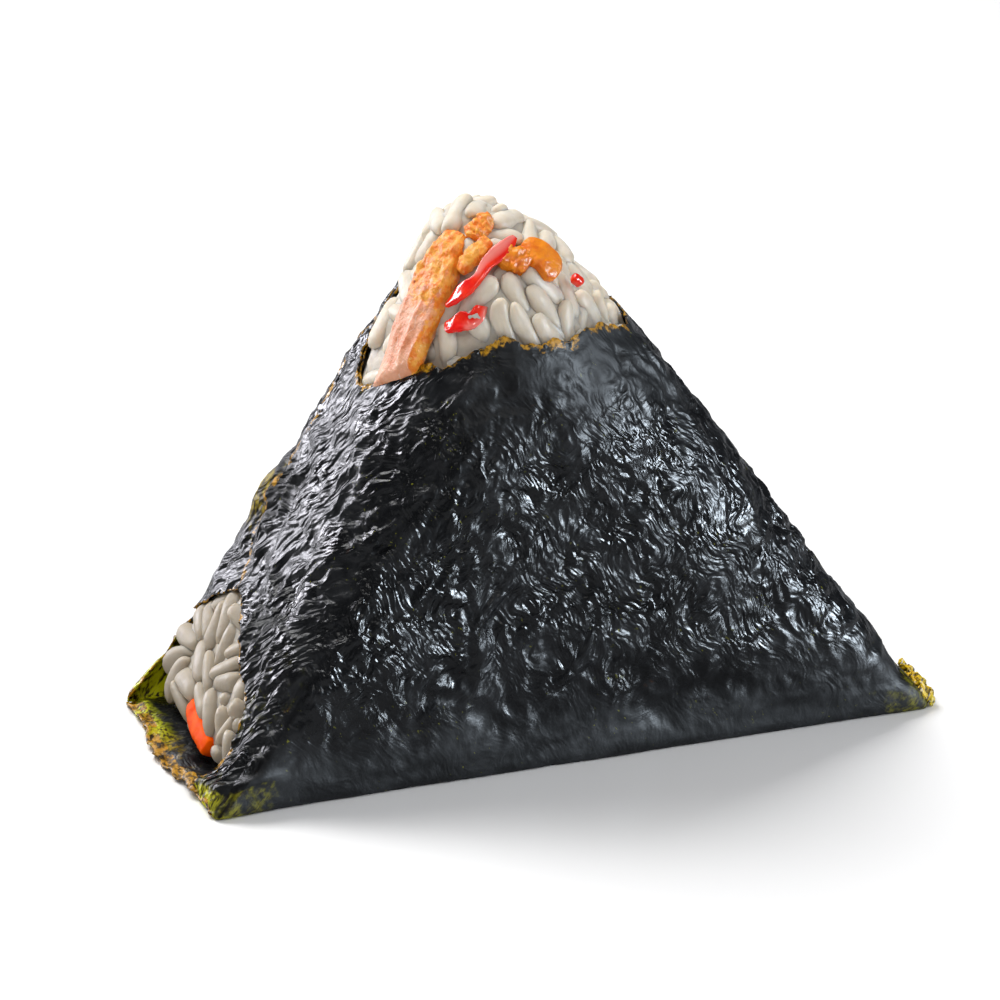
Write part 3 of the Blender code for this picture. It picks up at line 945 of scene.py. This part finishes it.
    def tuft(self, material: bpy.types.Material) -> bpy.types.Object:
        """The frayed flaps that stick out at the lower right, in accordion folds, with a painted golden
        glow of light shining through.
        """
        columns, rows = 84, 30
        bm = bmesh.new()
        bmesh.ops.create_grid(bm, x_segments=columns, y_segments=rows, size=0.5)
        start = np.array([vert.co for vert in bm.verts], float) + 0.5
        along, down = start[:, 0], start[:, 1]
        flat = np.stack([along * 8.0, down * 5.0, 0 * along], -1)
        folds = np.abs((self.tuft_folds * along + 0.5 * GradientNoise(51)(flat / 2.2)) % 2.0 - 1.0)
        frayed = 1.0 + 0.5 * GradientNoise(52).layered(flat / 0.8, 2)
        height = self.tuft_height * (1.0 - down) * (1.0 - 0.45 * along) * frayed
        stands = (0.10 + folds ** 1.4) * (0.45 + 0.55 * np.sin(math.pi * down)) * self.tuft_reach
        stands = stands + 0.45 * GradientNoise(53).layered(flat / 0.7, 2) * (1.0 - 0.5 * down)
        run, rise = FORM.base_width / 2 - FORM.peak_shift, FORM.peak_height
        normal = unit(np.array((rise, run)))
        x = FORM.base_width / 2 - run / rise * height + normal[0] * stands
        z = np.maximum(height + normal[1] * stands, 0.27)
        y = self.tuft_start + (self.tuft_end - self.tuft_start) * along + 0.4 * GradientNoise(54)(
            flat / 1.4)
        reshape(bm, lambda _: np.stack([x, y, z], -1))
        bmesh.ops.recalc_face_normals(bm, faces=bm.faces)
        # Painted light: the whole tuft glows golden as if lit through from behind.
        backlit_gold = np.clip(1.0 - 0.5 * down + 0.3 * GradientNoise(55)(flat), 0.0, 1.0)
        still = 0.0 * x
        piece = make_piece(bm, "nori_tuft", material,
                           {"backlit": still + 1.1, "gold_glow": backlit_gold, "torn": still, "left": still,
                            "calm": still + 0.4, "matte": still + 0.4})
        wall = piece.modifiers.new("thickness", "SOLIDIFY")
        wall.thickness = self.thickness * MM
        return piece

    def base(self, material: bpy.types.Material) -> bpy.types.Object:
        """The panel under the rice, whose left margin lies out on the table."""
        columns, rows = 190, 74
        half = FORM.base_width / 2
        bm = bmesh.new()
        bmesh.ops.create_grid(bm, x_segments=columns, y_segments=rows, size=0.5)
        start = np.array([vert.co for vert in bm.verts], float)
        share, way = start[:, 0] + 0.5, start[:, 1] * 2.0
        raggedness = GradientNoise(41).layered(
            np.stack([way * 6.0, 0 * way, 0 * way], -1), 3)
        left = -half - 1.5 + 0.55 * raggedness - 1.1 * (1.0 - smooth(abs(way) * 1.2))
        right = half - 1.6 + 0.3 * raggedness
        x = left + (right - left) * share
        y = way * (FORM.thickness / 2 - 0.75)
        flat = np.stack([x, y, 0 * x], -1)
        edge = smooth((-x - half + 3.5) / 4.5)
        rise = 0.35 + 0.2 * GradientNoise(42)(flat / 4.0) + 0.12 * GradientNoise(43)(flat / 1.2)
        lift = edge * (0.55 + 0.9 * GradientNoise(44).layered(flat / 2.6, 2))
        z = np.maximum(rise + lift, 0.22)
        reshape(bm, lambda _: np.stack([x, y, z], -1))
        bmesh.ops.recalc_face_normals(bm, faces=bm.faces)
        rear = smooth((way + 0.05) / 0.5)
        # Painted light: the margin on the table glows as if lit through, more at the back and golden at
        # the front.
        backlit = edge * (0.30 + 0.75 * rear)
        piece = make_piece(bm, "nori_base", material,
                           {"backlit": backlit, "gold_glow": 0.6 * (1.0 - rear), "torn": edge * (share < 0.02),
                            "left": 0.0 * x, "calm": 0.5 + 0.0 * x, "matte": 0.6 * edge})
        wall = piece.modifiers.new("thickness", "SOLIDIFY")
        wall.thickness = self.thickness * MM
        wall.offset = -1.0
        return piece


# ---------------------------------------------------------------- the filling

@dataclass
class Morsel:
    """One piece of filling, lying along a path on the skin."""

    name: str
    slot: str
    path: tuple
    widths: tuple
    half_depth: float
    lift: float
    section_power: float = 2.6
    bluntness: float = 4.0
    roughness: float = 0.12
    grain: float = 1.2
    fray: tuple = (1.0, 1.0)
    fibres: float = 0.0
    twist: tuple = (0.0, 0.0)
    dip: float = 0.0
    seed: int = 1
    crust: Callable[[Points, Points, Points], Points] | None = None

    def frame_at(self, share: Points) -> tuple[Points, Points, Points, Points]:
        """Middle line, heading, upward and sideways directions at shares of the path."""
        track = FORM.on_skin(np.array(self.path, float))
        middle = FORM.on_skin(curve_at(track, share))
        heading = unit(curve_at(track, share + 0.02) - curve_at(track, share - 0.02))
        up = FORM.outward(middle)
        across = unit(np.cross(heading, up))
        up = np.cross(across, heading)
        lean = np.radians(self.twist[0] + (self.twist[1] - self.twist[0]) * share)[:, None]
        up, across = (up * np.cos(lean) + across * np.sin(lean),
                      across * np.cos(lean) - up * np.sin(lean))
        return middle, heading, up, across

    def build(self, material: bpy.types.Material, sides: int, rings: int) -> bpy.types.Object:
        """Build the piece with that many sides and rings."""
        bm = bmesh.new()
        bmesh.ops.create_uvsphere(bm, u_segments=sides, v_segments=rings, radius=1.0)
        ball = np.array([vert.co for vert in bm.verts], float)
        share = np.arccos(np.clip(ball[:, 2], -1.0, 1.0)) / math.pi
        angle = np.arctan2(ball[:, 1], ball[:, 0])
        middle, heading, up, across = self.frame_at(share)
        end = np.maximum(1.0 - np.abs(2.0 * share - 1.0) ** self.bluntness, 0.0) ** (1 / self.bluntness)
        width = curve_at(np.array(self.widths, float), share) * end
        depth = self.half_depth * end
        flat, tall = (np.copysign(np.abs(wave) ** (2 / self.section_power), wave)
                      for wave in (np.cos(angle), np.sin(angle)))
        spot = middle + across * (width * flat)[:, None]
        covered = smooth((OPENINGS.torn_height(spot) - spot[:, 2] + 0.2) / 1.2)
        lift = self.lift - self.dip * (0.4 * smooth((share - 0.45) / 0.45) + 0.6 * covered)
        placed = middle + up * (lift + depth * tall)[:, None] + across * (width * flat)[:, None]
        out = unit(up * (tall * width)[:, None] + across * (flat * depth)[:, None])
        frayed = self.fray[0] + (self.fray[1] - self.fray[0]) * smooth(1.6 * share - 0.2)
        lumps = frayed * self.roughness * GradientNoise(self.seed).layered(placed / self.grain, 3)
        waver = 1.6 * GradientNoise(self.seed + 50)(placed / 3.0) + 2.0 * share
        strands = self.fibres * (1.0 - 2.0 * np.abs(np.sin(4.5 * flat + waver)))
        placed = placed + out * ((lumps + strands) * end ** 0.5)[:, None]
        crust = self.crust(share, flat, tall) if self.crust else 0.0 * share
        reshape(bm, lambda _: placed)
        bmesh.ops.recalc_face_normals(bm, faces=bm.faces)
        return make_piece(bm, self.name, material, {"crust": crust, "fibre": flat})

    def stones(self) -> tuple[Points, Points]:
        """Spheres that fill the piece, which the rice keeps clear of: centres and radii."""
        share = np.linspace(0.04, 0.96, 9)
        middle, _, up, across = self.frame_at(share)
        width = curve_at(np.array(self.widths, float), share)
        core = middle + up * self.lift
        radius = np.full(len(share), self.half_depth)
        reach = np.maximum(width - radius, 0.0)[:, None]
        centres = np.concatenate([core, core + across * reach, core - across * reach])
        return centres, np.tile(radius, 3)


def salmon_crust(share: Points, flat: Points, tall: Points) -> Points:
    """Grilled over its upper half, along its near side and at its lowest tip."""
    near_side = 0.75 * smooth((-flat - 0.78) / 0.2)
    tip = 0.6 * smooth((share - 0.86) / 0.08) * smooth((0.3 - flat) / 0.4)
    return np.clip(np.maximum(1.35 - 2.5 * share + 0.1 * tall, near_side + tip), 0.0, 1.0)


def all_crust(share: Points, flat: Points, tall: Points) -> Points:
    """Grilled all over."""
    return np.ones_like(share)


def highlight_edge(share: Points, flat: Points, tall: Points) -> Points:
    """Painted highlight: a pale band, in the cut-flesh colour, along the edge turned to the salmon."""
    return smooth((0.9 * flat + 0.3 * tall - 0.15) / 0.25) * smooth((0.62 - share) / 0.12)


def cut_side_and_highlight(share: Points, flat: Points, tall: Points) -> Points:
    """Pale cut flesh along one cut side, towards the far end, which also serves as a painted highlight
    there.
    """
    return 0.8 * smooth((flat * 0.8 + tall * 0.6 - 0.80) / 0.3) * smooth((share - 0.3) / 0.2)


MORSELS = (
    Morsel("salmon_slice", "salmon",
           ((-9.6, -2.3, 62.1), (-11.8, -3.1, 59.9), (-13.4, -4.0, 57.5), (-15.0, -4.4, 54.9),
            (-16.9, -4.8, 51.4), (-18.5, -4.7, 49.0), (-20.4, -4.4, 46.0), (-22.4, -3.9, 42.6)),
           (1.7, 2.6, 3.1, 3.2, 3.2, 3.3, 3.3, 3.0), 1.5, 0.6, 3.0, 6.0, 0.22, 0.85,
           fray=(1.25, 0.12), fibres=0.13, twist=(0.0, 6.0), dip=3.4, seed=61,
           crust=salmon_crust),
    Morsel("salmon_lobe", "salmon", ((-11.2, -6.4, 58.9), (-9.2, -6.1, 60.8), (-7.3, -5.6, 61.8)),
           (0.7, 1.15, 0.75), 0.9, 1.0, roughness=0.22, grain=0.8, seed=62, crust=all_crust),
    Morsel("salmon_flake", "salmon", ((-8.9, -4.1, 61.7), (-7.4, -2.9, 62.6), (-6.3, -1.9, 63.2)),
           (1.4, 1.3, 0.6), 1.0, 0.9, 2.2, roughness=0.42, grain=0.75, seed=63, crust=all_crust),
    Morsel("red_pepper_strip", "red_pepper",
           ((-5.4, -5.8, 62.3), (-7.0, -7.1, 61.1), (-8.6, -7.9, 59.9), (-9.6, -8.7, 58.5),
            (-11.1, -8.8, 57.1), (-12.8, -8.4, 55.0)),
           (0.45, 1.0, 0.8, 0.65, 1.1, 0.3), 0.36, 1.55, 4.4, 5.0, 0.10, 1.4, twist=(-35.0, 35.0),
           # The crust here is the painted highlight along the strip's edge.
           seed=64, crust=highlight_edge),
    Morsel("red_pepper_fold", "red_pepper",
           ((-13.7, -9.2, 53.1), (-12.2, -10.1, 54.4), (-11.1, -10.6, 55.2), (-10.7, -10.1, 56.4)),
           (0.85, 1.2, 0.95, 0.8), 0.36, 1.0, 4.6, 7.0, 0.12, 1.1, twist=(-35.0, 45.0),
           # The crust here is cut flesh and a painted highlight.
           seed=65, crust=cut_side_and_highlight),
    Morsel("red_pepper_chip", "red_pepper", ((0.7, -9.6, 58.1), (1.9, -9.6, 57.1)),
           (0.75, 0.4), 0.6, 0.6, 2.6, 3.0, 0.14, seed=66),
    Morsel("orange_piece_rough", "orange_pepper",
           ((-7.4, -7.3, 61.0), (-5.7, -8.3, 60.8), (-4.2, -9.4, 60.0)),
           (1.3, 1.6, 1.3), 1.1, 0.5, roughness=0.36, grain=0.8, seed=67),
    Morsel("orange_piece_smooth", "orange_pepper",
           ((-3.9, -6.6, 61.9), (-2.9, -7.9, 61.0), (-2.2, -9.1, 59.9), (-2.4, -10.7, 58.5)),
           (1.0, 1.75, 1.9, 0.9), 0.95, 0.6, 3.8, 3.0, 0.08, 1.4, fibres=0.05, twist=(8.0, -8.0),
           seed=68),
    Morsel("carrot_stick", "carrot", ((-41.5, 4.6, 4.9), (-42.1, 0.6, 3.9), (-42.5, -4.6, 3.2)),
           (1.2, 1.45, 1.3), 1.2, -1.0, 3.0, 5.0, 0.09, seed=69),
)


# ---------------------------------------------------------------- the rice

@dataclass(frozen=True)
class Zone:
    """One stretch of bare rice and the grains that fill it."""

    name: str
    low: tuple[float, float, float]
    high: tuple[float, float, float]
    spacing: float
    margin: float
    seed: int
    # Painted shade added to the deep mark of all the zone's grains.
    shade: float = 0.0


@dataclass
class RiceHeap:
    """Grains packed over a smaller core wherever the sheet leaves the rice bare."""

    inset: float = 0.55
    top_rise: float = 1.2
    crown: float = 1.4
    right_slope: float = 1.2
    left_slope: float = 2.5
    lean: float = 10.0
    gap_rise: float = 0.9
    corner_rest: float = 2.2
    corner_height: float = 6.0
    core_inset: float = 1.25
    upright: float = 0.10
    lumpiness: float = 0.6
    shell: float = 4.8
    grain_length: float = 6.8
    grain_width: float = 3.2
    flatness: float = 0.78
    closeness: float = 0.70
    clearance: float = 0.72
    overlap: float = 0.09
    swell: float = 1.14
    rounds: int = 70
    zones: tuple = (
        Zone("rice_grains_top", (-31.0, -17.5, 41.0), (16.0, 17.5, 66.0), 2.35, 4.0, 71),
        # The side zone's grains get painted shade.
        Zone("rice_grains_side", (-46.0, -15.0, 0.0), (-30.0, 18.0, 22.0), 2.4, 3.5, 72, 0.8),
    )

    def level(self, points: Points) -> Points:
        """How far the heap's outline stands over the form's skin, negative below it."""
        crown = self.crown * near(points, (-9.0, 1.5, 64.0), 5.0)
        crown = crown - self.right_slope * near(points, (3.0, -3.0, 60.0), 6.5)
        crown = crown - self.left_slope * near(points, (-17.0, -0.5, 55.0), 7.5)
        crown = crown + self.lumpiness * GradientNoise(91)(points / 4.5) * smooth(
            (points[..., 2] - OPENINGS.torn_height(points)) / 4.0)
        bare = smooth((points[..., 2] - OPENINGS.torn_height(points) + 0.8) / 3.4)
        lean = np.clip(0.6 - 0.6 * (points[..., 0] - FORM.peak_shift) / self.lean, 0.0, 1.0)
        side = smooth((OPENINGS.side_depth(points) + 0.6) / 2.5)
        corner = smooth((-points[..., 0] - 35.0) / (FORM.base_width / 2 - 35.0))
        rest = self.corner_rest * corner * (1.0 - smooth(points[..., 2] / self.corner_height))
        return bare * self.top_rise * (0.4 + lean) + side * self.gap_rise + crown - rest - self.inset

    def exposure(self, points: Points) -> Points:
        """How far inside bare rice a point lies, in millimetres, negative under the sheet."""
        return np.maximum(points[..., 2] - OPENINGS.torn_height(points),
                          OPENINGS.side_depth(points))

    def seeds(self, zone: Zone) -> tuple[Points, Points]:
        """Scatter a zone's grains: centres and axes."""
        draw = np.random.default_rng(zone.seed)
        tries = draw.uniform(zone.low, zone.high, size=(9000, 3))
        gap = FORM.distance(tries) - self.level(tries)
        fit = (gap < -1.0) & (gap > -self.shell) & (self.exposure(tries) > -zone.margin)
        tries = tries[fit & (tries[:, 2] > 1.5)]
        chosen: list[Points] = []
        for spot in tries:
            if all(np.linalg.norm(spot - other) > zone.spacing for other in chosen):
                chosen.append(spot)
        centres = np.array(chosen)
        fan = 0.035 * (centres - np.array((FORM.peak_shift + 3.0, 0.0, 40.0))) * np.array((1, 0, 0))
        upward = np.array((0.0, 0.0, 1.0)) + fan + 0.42 * draw.normal(size=(len(centres), 3))
        loose = draw.normal(size=(len(centres), 3))
        front = smooth((-centres[:, 1] - 1.0) / 5.0)[:, None]
        return centres, unit(front * unit(upward) + 0.8 * (1.0 - front) * unit(loose))

    def settle(self, centres: Points, axes: Points, stones: tuple[Points, Points]) -> None:
        """Push grains apart and up against the heap's outline, in place."""
        half = (self.grain_length - self.grain_width) / 2
        offsets = np.array((-half, 0.0, half))
        radii = np.array((0.86, 1.0, 0.86)) * self.grain_width / 2
        count = len(centres)
        wish = axes * smooth((-centres[:, 1] - 1.0) / 5.0)[:, None]
        owner = np.repeat(np.arange(count), 3)
        radius = np.tile(radii, count)
        for _ in range(self.rounds):
            balls = (centres[:, None] + axes[:, None] * offsets[None, :, None]).reshape(-1, 3)
            push = np.zeros_like(balls)
            away = balls[:, None] - balls[None]
            far = np.linalg.norm(away, axis=-1) + 1e-9
            overlap = self.closeness * (radius[:, None] + radius[None]) - far
            overlap[(owner[:, None] == owner[None]) | (overlap < 0)] = 0.0
            push += (away / far[..., None] * overlap[..., None]).sum(1) * 0.32
            away = balls[:, None] - stones[0][None]
            far = np.linalg.norm(away, axis=-1) + 1e-9
            overlap = np.maximum(self.clearance * (radius[:, None] + stones[1][None]) - far, 0.0)
            push += (away / far[..., None] * overlap[..., None]).sum(1) * 0.6
            depth = self.outline(balls) + radius * self.flatness
            normals = FORM.outward(balls, self.outline)
            settle = np.where(depth > 0, -0.7 * depth, 0.05 * np.exp(depth / 2.5))
            push += normals * settle[:, None]
            push = push.reshape(count, 3, 3)
            centres += push.mean(1)
            axes += 0.5 * (push * offsets[None, :, None]).sum(1) / (2 * half ** 2)
            up = normals.reshape(count, 3, 3)[:, 1]
            shallow = np.exp((self.outline(centres) + 1.4) / 1.5).clip(0, 1)[:, None]
            axes -= 0.25 * shallow * (axes * up).sum(1, keepdims=True) * up
            axes += self.upright * wish
            axes[:] = unit(axes)

    def outline(self, points: Points) -> Points:
        """Distance of points from the heap's outline, negative inside it."""
        return FORM.distance(points) - self.level(points)

    def grains(self, zone: Zone, material: bpy.types.Material) -> bpy.types.Object:
        """Build one zone's grains as a single joined mesh."""
        centres, axes = self.seeds(zone)
        pairs = [morsel.stones() for morsel in MORSELS]
        stones = tuple(np.concatenate(side) for side in zip(*pairs))
        self.settle(centres, axes, stones)
        draw = np.random.default_rng(zone.seed + 100)
        normals = FORM.outward(centres, self.outline)
        bm = bmesh.new()
        for index, (centre, axis, normal) in enumerate(zip(centres, axes, normals)):
            made = bmesh.ops.create_uvsphere(bm, u_segments=8, v_segments=6, radius=1.0)
            ball = np.array([vert.co for vert in made["verts"]], float)
            spots = self.grain(ball, centre, axis, normal, draw)
            spots = self.press(spots, index, centres, axes)
            for vert, spot in zip(made["verts"], spots):
                vert.co = spot
        places = np.array([vert.co for vert in bm.verts], float)
        places += 0.32 * np.stack([GradientNoise(zone.seed + k)(places / 1.4) for k in range(3)], -1)
        places = self.under_sheet(places)
        reshape(bm, lambda _: places)
        marks = self.marks(places, centres, axes, draw)
        # Painted shade: the zone's shade darkens all its grains.
        marks["deep"] = np.clip(marks["deep"] + zone.shade, 0.0, 1.0)
        piece = make_piece(bm, zone.name, material, marks)
        rounder = piece.modifiers.new("rounding", "SUBSURF")
        rounder.levels = rounder.render_levels = 1
        LOG.info("%s holds %d grains", zone.name, len(centres))
        return piece

    def under_sheet(self, points: Points) -> Points:
        """Keep points that the sheet covers clear of it."""
        covered = smooth((-self.exposure(points) - 0.2) / 1.2)
        proud = np.maximum(FORM.distance(points) + 1.1, 0.0)
        return points - FORM.outward(points) * (proud * covered)[:, None]

    def marks(self, spots: Points, centres: Points, axes: Points,
              draw: np.random.Generator) -> dict[str, Points]:
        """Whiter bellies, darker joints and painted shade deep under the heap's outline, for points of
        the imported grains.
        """
        gaps = np.stack([self.reach(spots, centre, axis)[0]
                         for centre, axis in zip(centres, axes)], -1)
        own = gaps.argmin(1)
        closest = np.partition(gaps, 1, axis=1)[:, :2]
        joint = smooth(1.0 - (closest[:, 1] - closest[:, 0]) / 0.7)
        along = ((spots - centres[own]) * axes[own]).sum(1)
        tone = draw.uniform(0.1, 1.0, len(centres))[own]
        depth = -self.outline(spots)
        return {"belly": tone * (1.0 - 0.7 * joint) * np.exp(-(along / 2.2) ** 2),
                # deep: painted shade below the heap's outline, plus a trace of dark joints.
                "deep": np.clip(0.35 * smooth((depth - 1.2) / 2.0) + 0.04 * joint, 0.0, 1.0)}

    def reach(self, spots: Points, centre: Points, axis: Points) -> tuple[Points, Points]:
        """Distance of points from a grain's flank, and the way from its middle line to them."""
        half = (self.grain_length - self.grain_width) / 2
        along = np.clip((spots - centre) @ axis, -half, half)
        off = spots - centre - np.outer(along, axis)
        far = np.linalg.norm(off, axis=1)
        return far - self.grain_width / 2, off / np.maximum(far, 1e-6)[:, None]

    def press(self, spots: Points, index: int, centres: Points, axes: Points) -> Points:
        """Flatten a grain where its neighbours press on it.

        Args:
            spots: the grain's points.
            index: its place among the grains.
            centres: all grains' middles.
            axes: all grains' long directions.

        Returns:
            The points, drawn back to halfway between the grains.
        """
        apart = np.linalg.norm(centres - centres[index], axis=1)
        close = np.flatnonzero((apart < self.grain_length * 1.2) & (apart > 0))
        for _ in range(3):
            own, out = self.reach(spots, centres[index], axes[index])
            excess = np.zeros(len(spots))
            for other in close:
                excess = np.maximum(excess, own - self.reach(spots, centres[other], axes[other])[0])
            spots = spots - out * (0.5 * excess - self.overlap).clip(0.0, 0.8)[:, None]
        return spots

    def grain(self, ball: Points, centre: Points, axis: Points, normal: Points,
              draw: np.random.Generator) -> Points:
        """Shape one grain.

        Args:
            ball: points of a unit ball whose poles become the grain's ends.
            centre: the grain's middle.
            axis: its long direction.
            normal: outward direction of the heap there.
            draw: source of its own small differences.

        Returns:
            The grain's points.
        """
        length, width = (self.swell * size * draw.uniform(0.88, 1.08) / 2
                         for size in (self.grain_length, self.grain_width))
        bend, point, roll = draw.uniform(-0.6, 0.6), draw.uniform(-0.22, 0.22), draw.normal() * 0.5
        pinch, press = draw.uniform(0.0, 0.16), draw.uniform(2.0, 3.4)
        side = unit(np.cross(axis, normal + roll * np.cross(axis, normal)))
        up = np.cross(side, axis)
        ends = np.clip(np.abs(ball[:, 2]), 0.0, 1.0)
        girth = (1.0 - ends ** press) ** 0.5 / np.maximum(np.sqrt(1.0 - ball[:, 2] ** 2), 1e-3)
        girth *= (1.0 + point * ball[:, 2]) * (1.0 - pinch * np.exp(-((ball[:, 2] - 0.1) / 0.3) ** 2))
        flat = np.copysign(np.abs(ball[:, :2]) ** 0.68, ball[:, :2]) * girth[:, None]
        return (centre + np.outer(ball[:, 2] * length, axis)
                + np.outer(flat[:, 0] * width + bend * (ball[:, 2] ** 2 - 0.4), side)
                + np.outer(flat[:, 1] * width * self.flatness, up))

    def core(self, material: bpy.types.Material) -> bpy.types.Object:
        """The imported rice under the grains."""
        around, rings = 96, 60
        bm = bmesh.new()
        bmesh.ops.create_uvsphere(bm, u_segments=around, v_segments=rings, radius=1.0)
        middle = np.array((FORM.peak_shift * 0.45, 0.0, 26.0))
        spread = np.array((36.0, 13.0, 30.0))

        def shrink(ball: Points) -> Points:
            rays = unit(ball * spread)
            low, high = np.zeros(len(ball)), np.full(len(ball), 70.0)
            for _ in range(30):
                half_way = (low + high) / 2
                spot = middle + rays * half_way[:, None]
                inside = FORM.distance(spot) < self.level(spot) - self.core_inset + self.inset
                low, high = np.where(inside, half_way, low), np.where(inside, high, half_way)
            spots = middle + rays * low[:, None]
            return spots + rays * (0.5 * GradientNoise(81).layered(spots / 2.6, 2))[:, None]

        reshape(bm, shrink)
        bmesh.ops.recalc_face_normals(bm, faces=bm.faces)
        everywhere = np.ones(len(bm.verts))
        # Painted shade: the core gets a little of the deep colour all over.
        return make_piece(bm, "rice_core", material, {"belly": 0 * everywhere, "deep": 0.15 * everywhere})


# ---------------------------------------------------------------- the studio

@dataclass(frozen=True)
class SoftLight:
    """One soft panel of light, aimed at the middle of the onigiri."""

    name: str
    heading: tuple[float, float, float]
    distance: float
    size: tuple[float, float]
    power: float
    colour: tuple[float, float, float]
    gloss_only: bool = False

    def build(self, target: Vector) -> None:
        """Hang the light."""
        data = bpy.data.lights.new(self.name, "AREA")
        data.shape = "RECTANGLE"
        data.size, data.size_y = self.size
        data.energy = self.power
        data.color = self.colour
        lamp = bpy.data.objects.new(self.name, data)
        bpy.context.scene.collection.objects.link(lamp)
        heading = Vector(self.heading).normalized()
        lamp.visible_diffuse = not self.gloss_only
        lamp.location = target + heading * self.distance
        lamp.rotation_mode = "QUATERNION"
        lamp.rotation_quaternion = heading.to_track_quat("Z", "Y")


@dataclass
class Studio:
    """Camera, soft lights and a pale floor."""

    azimuth: float = -19.85
    elevation: float = 23.03
    distance: float = 0.780
    target: tuple[float, float, float] = (-0.004313, 0.0, 0.027369)
    view_width: float = 0.11792
    lights: tuple = (
        SoftLight("overhead_panel", (-0.30, 0.60, 1.0), 0.60, (0.34, 0.34), 3.8, (1.0, 1.0, 1.0)),
        SoftLight("front_right_strip", (0.60, -0.70, 0.62), 0.70, (0.06, 0.24), 1.2, (0.92, 0.95, 1.0)),
        SoftLight("front_left_lamp", (-0.42, -0.60, 0.80), 0.70, (0.08, 0.10), 0.65, (1.0, 0.98, 0.95)),
        SoftLight("left_gloss_panel", (-0.55, 0.80, 0.24), 0.55, (0.20, 0.30), 4.4,
                  (0.93, 0.92, 1.0), True),
        SoftLight("right_gloss_strip", (0.72, -0.66, 0.24), 0.70, (0.20, 0.30), 18.0,
                  (0.78, 0.89, 1.0), True),
    )

    def camera(self) -> None:
        """Set the camera at its viewing angle."""
        a, e = math.radians(self.azimuth), math.radians(self.elevation)
        back = Vector((math.sin(a) * math.cos(e), -math.cos(a) * math.cos(e), math.sin(e)))
        data = bpy.data.cameras.new("camera")
        data.sensor_width = 36.0
        data.lens = 36.0 * self.distance / self.view_width
        data.clip_start, data.clip_end = 0.01, 20.0
        camera = bpy.data.objects.new("camera", data)
        bpy.context.scene.collection.objects.link(camera)
        camera.location = Vector(self.target) + back * self.distance
        camera.rotation_mode = "QUATERNION"
        camera.rotation_quaternion = (-back).to_track_quat("-Z", "Y")
        bpy.context.scene.camera = camera

    def floor(self) -> None:
        """Lay the pale floor, which shows as dark grey in reflections: painted shade."""
        bm = bmesh.new()
        bmesh.ops.create_grid(bm, x_segments=1, y_segments=1, size=4000.0)
        material = bpy.data.materials.new("pale_floor")
        material.use_nodes = True
        shader = material.node_tree.nodes["Principled BSDF"]
        graph = Graph(material.node_tree)
        # Painted shade: the floor is dark grey where it is seen in reflections.
        mirrored = graph.add("LightPath").outputs["Is Glossy Ray"]
        material.node_tree.links.new(graph.blend(mirrored, (0.97, 0.965, 0.96), (0.42, 0.43, 0.45)),
                                     shader.inputs["Base Color"])
        shader.inputs["Roughness"].default_value = 0.25
        shader.inputs["Specular IOR Level"].default_value = 0.25
        make_piece(bm, "floor", material)

    def world(self) -> None:
        """Surround the scene with an even pale sky, softer in what it lights."""
        world = bpy.data.worlds.new("studio")
        bpy.context.scene.world = world
        world.use_nodes = True
        graph = Graph(world.node_tree)
        backdrop = world.node_tree.nodes["Background"]
        path = graph.add("LightPath").outputs
        lit = graph.blend(path["Is Glossy Ray"], (0.35, 0.352, 0.357), (0.06, 0.065, 0.075))
        world.node_tree.links.new(graph.blend(path["Is Camera Ray"], lit, (1.0, 1.0, 1.0)),
                                  backdrop.inputs["Color"])

    def build(self) -> None:
        """Build the whole studio."""
        self.camera()
        self.floor()
        self.world()
        for light in self.lights:
            light.build(Vector(self.target))
        bpy.context.scene.view_settings.view_transform = "Standard"


# ---------------------------------------------------------------- all together

def main() -> None:
    """Build the onigiri's looks piece by piece."""
    logging.basicConfig(level=logging.INFO, format="%(name)s: %(message)s")
    effects = Effects()
    nori = NoriFinish(effects).material()
    for piece in NoriWrap().build(nori):
        join_frame(piece, "nori", "nori_wrap")
    heap = RiceHeap()
    rice = RiceFinish(effects).material()
    # Painted shade: the core's rice is painted darker.
    join_frame(heap.core(RiceFinish(effects, 0.92).material()), "rice", "rice_ball")
    for zone in heap.zones:
        join_frame(heap.grains(zone, rice), "rice", "rice_ball")
    finishes = {"salmon": SalmonFinish(effects).material()}
    for slot, kind in (("red_pepper", Vegetable.RED), ("orange_pepper", Vegetable.ORANGE),
                       ("carrot", Vegetable.CARROT)):
        finishes[slot] = VegetableFinish(effects, kind.value).material()
    for morsel in MORSELS:
        fine = 96 if morsel.name == "salmon_slice" else 40
        piece = morsel.build(finishes[morsel.slot], fine, fine)
        join_frame(piece, morsel.slot, morsel.name)
    Studio().build()


if __name__ == "__main__":
    main()
